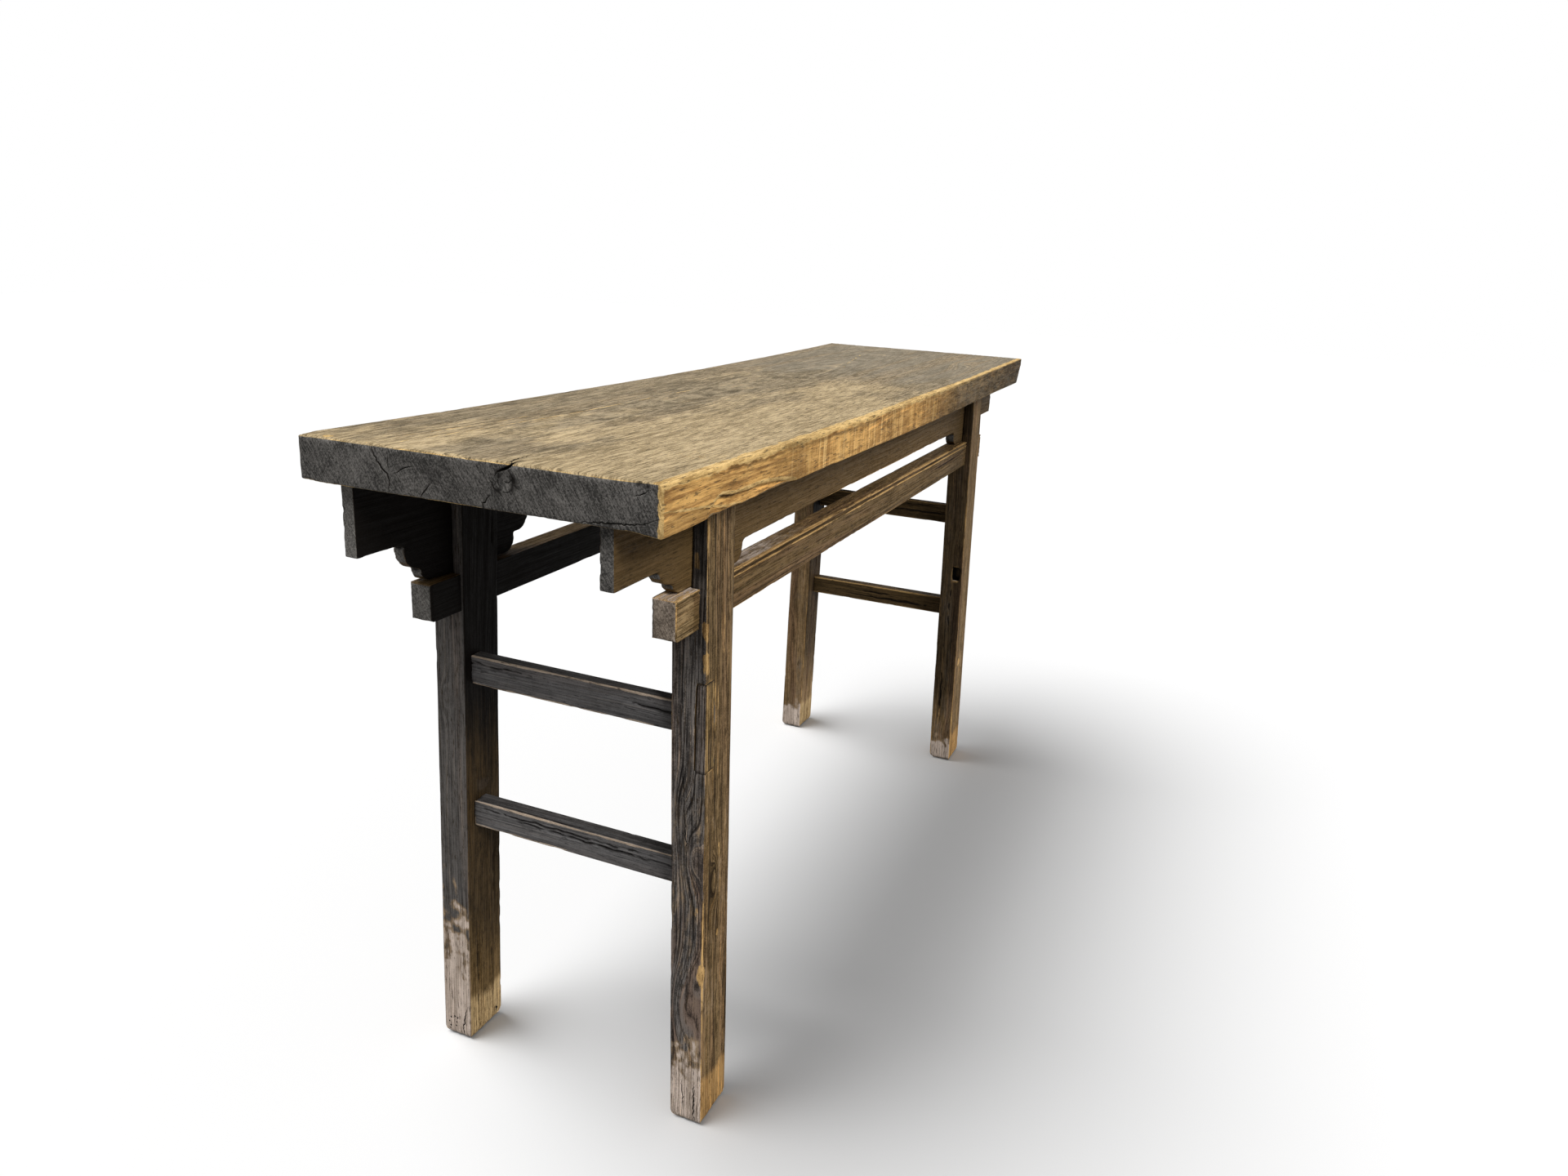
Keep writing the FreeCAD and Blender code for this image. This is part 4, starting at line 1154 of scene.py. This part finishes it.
def plank_marks(spots, normals, fields):
    """Worn strips along the upper arrises, and cloudy patches on the upper face."""
    x, y = spots.T[:2]
    up, front = step(0.5, 0.9, normals[:, Z]), step(0.3, 0.8, -normals[:, Y])
    fine = fractal(spots, (13, 13, 7), 311, 3) - 0.5
    broad = fractal(spots, (120, 45, 45), 321, 3)
    fields.lift("wear", 0.95 * up * step(-204, -210, y + 8 * fine))
    near_end = up * step(-748, -758, x + 14 * fine) * step(96, 80, y) * step(-206, -190, y)
    fields.lift("wear", 0.10 * near_end)
    fields.lift("wear", 0.22 * up * step(-760, -764, x + 6 * fine))
    flecks = up * step(-30, -120, y) * step(-120, -350, x) * step(-752, -725, x)
    fields.lift("wear", (0.27 + 0.5 * (broad - 0.5)) * flecks)
    fields.lift("wear", 0.85 * step(-212.0, -214.5, y + 5 * fine) * step(-760, -763.5, x + 4 * fine))
    front_marks(spots, front, fine, broad, fields)
    middle = np.exp(-(((x + 500) / 150) ** 2) - (y / 70) ** 2)
    fields["pale"] = up * (0.24 + 0.8 * step(50, -170, y) * step(420, -200, x) - 0.2 * step(0, 400, x)
                           + 0.4 * step(-560, -720, x) + 0.35 * middle + 1.1 * (broad - 0.5)
                           - 0.15 * step(300, 700, x))
    strip = step(-755, -762, x + 8 * fine) * step(0.1, 0.45, normals[:, Z])
    fields.lift("pale", strip * (0.35 + 1.2 * broad))
    fields["pale"] -= up * (0.40 * np.exp(-(((x + 700) / 80) ** 2) - ((y - 5) / 55) ** 2)
                            + 0.30 * np.exp(-(((x + 187) / 160) ** 2)) * step(-20, 70, y)
                            + 0.28 * step(-90, -140, y) * step(60, 220, x)
                            + 0.20 * step(400, 650, x) * step(60, -30, y))
    # The upper face turns greyer towards the far end, partly weathered grey wood and partly painted sheen
    fields["char"] = up * (0.12 + 0.88 * step(-50, 520, x) - 0.3 * middle + 0.9 * (broad - 0.5))
    fields.lift("grime", 0.20 * step(0.7, 0.9, -normals[:, X]) * np.exp(-(((y + 5) / 45) ** 2)))


# Cracks as (depth, half width, points), with points (y, z) on the near end
END_CRACKS = [
    (16, 1.4, [(122, 856), (117, 840), (107, 828), (99, 820), (96, 814), (98, 806), (99, 796)]),
    (8, 0.9, [(97, 842), (98, 832), (97, 823)]),
    (8, 1.0, [(92, 821), (84, 826), (72, 831), (66, 832)]),
    (10, 1.2, [(43, 820), (50, 812), (58, 803), (60, 797)]),
    (24, 2.1, [(-60, 858), (-54, 851), (-50, 846), (-43, 842), (-36, 839), (-33, 834)]),
    (9, 1.1, [(-49, 842), (-55, 835), (-57, 829), (-62, 824)]),
    (7, 0.9, [(-38, 834), (-36, 829), (-39, 824)]),
    (7, 1.2, [(-53, 833), (-48, 829), (-43, 831)]),
    (7, 0.9, [(-52, 823), (-46, 820), (-41, 821)]),
    (10, 1.0, [(-38, 818), (-30, 825), (-26, 832)]),
    (12, 1.3, [(-28, 815), (-24, 811), (-19, 806), (-18, 796)]),
    (12, 1.0, [(-112, 798), (-136, 803), (-157, 805), (-179, 807), (-196, 809), (-204, 812), (-224, 819)]),
    (6, 1.0, [(-188, 834), (-199, 839), (-206, 843)]),
]
TOP_CRACKS = [
    (9, 1.5, [(-775, -58, 850), (-756, -46, 850), (-746, -44, 850), (-733, -45, 850), (-718, -41, 850)]),
    (5, 0.8, [(-640, 152, 850), (-625, 155, 850), (-612, 154, 850)]),
    (5, 1.2, [(-232, -95, 850), (-226, -94, 850), (-221, -92, 850)]),
]
FRONT_CRACKS = [
    (9, 0.9, [(-690, -218, 810), (-663, -218, 807), (-648, -218, 803)]),
    (4, 0.5, [(-655, -218, 842), (-646, -218, 839), (-636, -218, 838)]),
    (5, 0.7, [(250, -218, 826), (262, -218, 822), (280, -218, 820)]),
]


def near_end_reach(spots):
    return 3 + 5 * step(-742, -764, spots[:, X])


def end_arris_reach(spots):
    return 4 + 3 * step(-203, -175, spots[:, Y]) + step(192, 212, spots[:, Y])


def end_foot_reach(spots):
    return 2 + 4 * step(190, 210, spots[:, Y])


PLANK_LOOK = {
    "pith": (59, 745), "waves": 0.6, "rounds": 3, "blunt_low": 0.1, "blunt": 0.3, "chips": 1.0, "wear": 0.8,
    "bow": plank_bow, "shape": full_corner, "carve": plank_carve, "marks": plank_marks, "cracks": (),
    "edges": [(Y, 1, Z, 1, near_end_reach, near_end_reach), (Y, 1, Z, -1, 8, 10), (Y, -1, Z, 1, 6, 4),
              (Y, -1, Z, -1, 2, 2), (X, -1, Z, 1, end_arris_reach, end_arris_reach),
              (X, -1, Z, -1, end_foot_reach, end_foot_reach), (X, 1, Z, -1, 48, 27), (X, 1, Z, 1, 5, 4)],
    "rubbed": [(-768, -46, 828, 4, 4, 4, 0.3), (-760, 181, 850, 9, 9, 6, 1.1)],
    "dirty": [(-768, -54, 829, 5, 6, 11, 0.9), (-768, -37, 836, 5, 7, 5, 0.9), (-768, -36, 822, 5, 4, 6, 0.9),
              (-768, -193, 848, 5, 6, 5, 0.9), (-768, -203, 846, 5, 4, 4, 0.8)],
    "gouges": [(-768, -50, 831, 8, 9, 8, 1.5), (-768, -40, 826, 8, 6, 7, 1.2)],
    "knots": [(-768, -46, 829, 12, 9), (-627, 150, 850, 9, 12), (607, 150, 850, 16, 20),
              (590, -140, 850, 20, 24)],
    "rubbed_lines": [
        (1.8, 0.9, [(-380, -218, 836), (-376, -218, 800)]),
        (2.6, 0.85, [(-765, 128, 850), (-678, 127, 850), (-607, 120, 850), (-500, 118, 850)]),
        (2.6, 0.85, [(-750, 107, 850), (-606, 97, 850), (-454, 92, 850), (-238, 95, 850), (-100, 92, 850)]),
        (1.6, 1.0, [(282, 15, 850), (430, 50, 850), (571, 78, 850)]),
    ],
    "dirty_lines": [
        (2.6, 0.6, [(-765, 133, 850), (-678, 132, 850), (-607, 126, 850), (-400, 120, 850)]),
        (2.6, 0.45, [(-750, 112, 850), (-606, 102, 850), (-454, 97, 850), (-238, 100, 850), (-100, 97, 850)]),
        (3.0, 0.6, [(-640, 158, 850), (-615, 156, 850), (-600, 152, 850)]),
    ],
}


def make_top():
    spacings = (
        Spacing((-790, -756, 1.3), (-756, -735, 2.5), (-735, -430, 3.2), (-430, 735, 10), (735, 790, 3)),
        Spacing((-230, -207, 1.2), (-207, -195, 2.0), (-195, 85, 5), (85, 135, 2.5), (135, 195, 5),
                (195, 230, 2.2)),
        Spacing((790, 860, 1.5)),
    )
    piece = timber("top_plank", X, spacings, PLANK_LOOK, "top_wood", TOP_TONES, 71, groove=0.3, plank=True)
    rows = [(X, -1, depth, width, [(-768, y, z) for y, z in points]) for depth, width, points in END_CRACKS]
    rows += [(Z, 1, *crack) for crack in TOP_CRACKS] + [(Y, -1, *crack) for crack in FRONT_CRACKS]
    cut_cracks(piece, rows, 7)


make_frame()
make_top()


# Floor, light and camera

WHITE = (1, 1, 1, 1)
FLOOR_GLOW = 0.05
BACK_LIGHT = (-0.195, 0.422, 1.0)
FRONT_LIGHT = (-0.35, -0.75, 0.60)
# The photograph's camera, found from the table's corners: azimuth, elevation and roll in degrees
CAMERA_ANGLES = (-67.6051, 16.1346, 2.7049)
CAMERA_PLACE = (-1.6202, -0.7015, 1.0625)
CAMERA_SHIFT = (-0.00696, -0.01524)
SENSOR_WIDTH = 36.0
LENS = 25.415


def make_floor():
    reach, cells = 14.0, 28
    line = np.linspace(-reach, reach, cells + 1)
    verts = [(x, y, 0.0) for y in line for x in line]
    starts = [row * (cells + 1) + column for row in range(cells) for column in range(cells)]
    faces = [(first, first + 1, first + cells + 2, first + cells + 1) for first in starts]
    mesh = new_mesh("studio_floor", verts, faces)
    material = bpy.data.materials.new("floor_paper")
    mesh.materials.append(material)
    g = Graph(material)
    speck = g.noise(g.node("TexCoord", output="Object"), (900, 900, 900), 2)
    colour = g.mix(g.between(speck, 0.3, 0.7), (0.86, 0.86, 0.86), (0.88, 0.88, 0.88))
    diffuse = g.node("BsdfDiffuse", {"Color": colour})
    glow = g.node("Emission", {"Color": WHITE, "Strength": FLOOR_GLOW})
    bright = g.node("AddShader", {0: diffuse, 1: glow})
    bounce = g.node("BsdfDiffuse", {"Color": (0.3, 0.3, 0.3, 1)})
    g.node("OutputMaterial", {"Surface": g.node("MixShader", {0: g.seen(), 1: bounce, 2: bright})})
    floor = new_object("studio_floor", mesh)
    floor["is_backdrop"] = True
    return floor


def make_world():
    world = bpy.data.worlds.new("studio")
    bpy.context.scene.world = world
    g = Graph(world)
    strength = g.node("MapRange", {0: g.seen(), 3: 0.25, 4: 1.0})
    g.node("OutputWorld", {"Surface": g.node("Background", {"Color": WHITE, "Strength": strength})})


def sun(name, towards, soft_degrees, strength, lit_objects):
    """A broad, even lamp that shines from a direction on some of the objects."""
    data = bpy.data.lights.new(name, "SUN")
    data.angle, data.energy = math.radians(soft_degrees), strength
    lamp = new_object(name, data)
    lamp.rotation_mode = "QUATERNION"
    lamp.rotation_quaternion = Vector(towards).to_track_quat("Z", "Y")
    lit = bpy.data.collections.new(name + "_lights")
    for item in lit_objects:
        lit.objects.link(item)
    lamp.light_linking.receiver_collection = lit


def make_camera():
    azimuth, elevation, roll = (math.radians(v) for v in CAMERA_ANGLES)
    back = Vector((math.sin(azimuth) * math.cos(elevation), -math.cos(azimuth) * math.cos(elevation),
                   math.sin(elevation)))
    level = Vector((0, 0, 1)).cross(back).normalized()
    above = back.cross(level)
    right = math.cos(roll) * level + math.sin(roll) * above
    up = -math.sin(roll) * level + math.cos(roll) * above
    data = bpy.data.cameras.new("photo_camera")
    data.sensor_width, data.lens = SENSOR_WIDTH, LENS
    data.shift_x, data.shift_y = CAMERA_SHIFT
    data.clip_start, data.clip_end = 0.05, 60.0
    camera = new_object("photo_camera", data)
    turn = Matrix((right, up, back)).transposed().to_4x4()
    camera.matrix_world = Matrix.Translation(CAMERA_PLACE) @ turn
    bpy.context.scene.camera = camera


floor = make_floor()
make_world()
sun("floor_light", BACK_LIGHT, 42, 3.0, [floor])
sun("back_light", BACK_LIGHT, 42, 2.0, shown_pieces())
sun("front_light", FRONT_LIGHT, 24, 2.4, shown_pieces())
make_camera()
bpy.context.scene.view_settings.view_transform = "Standard"
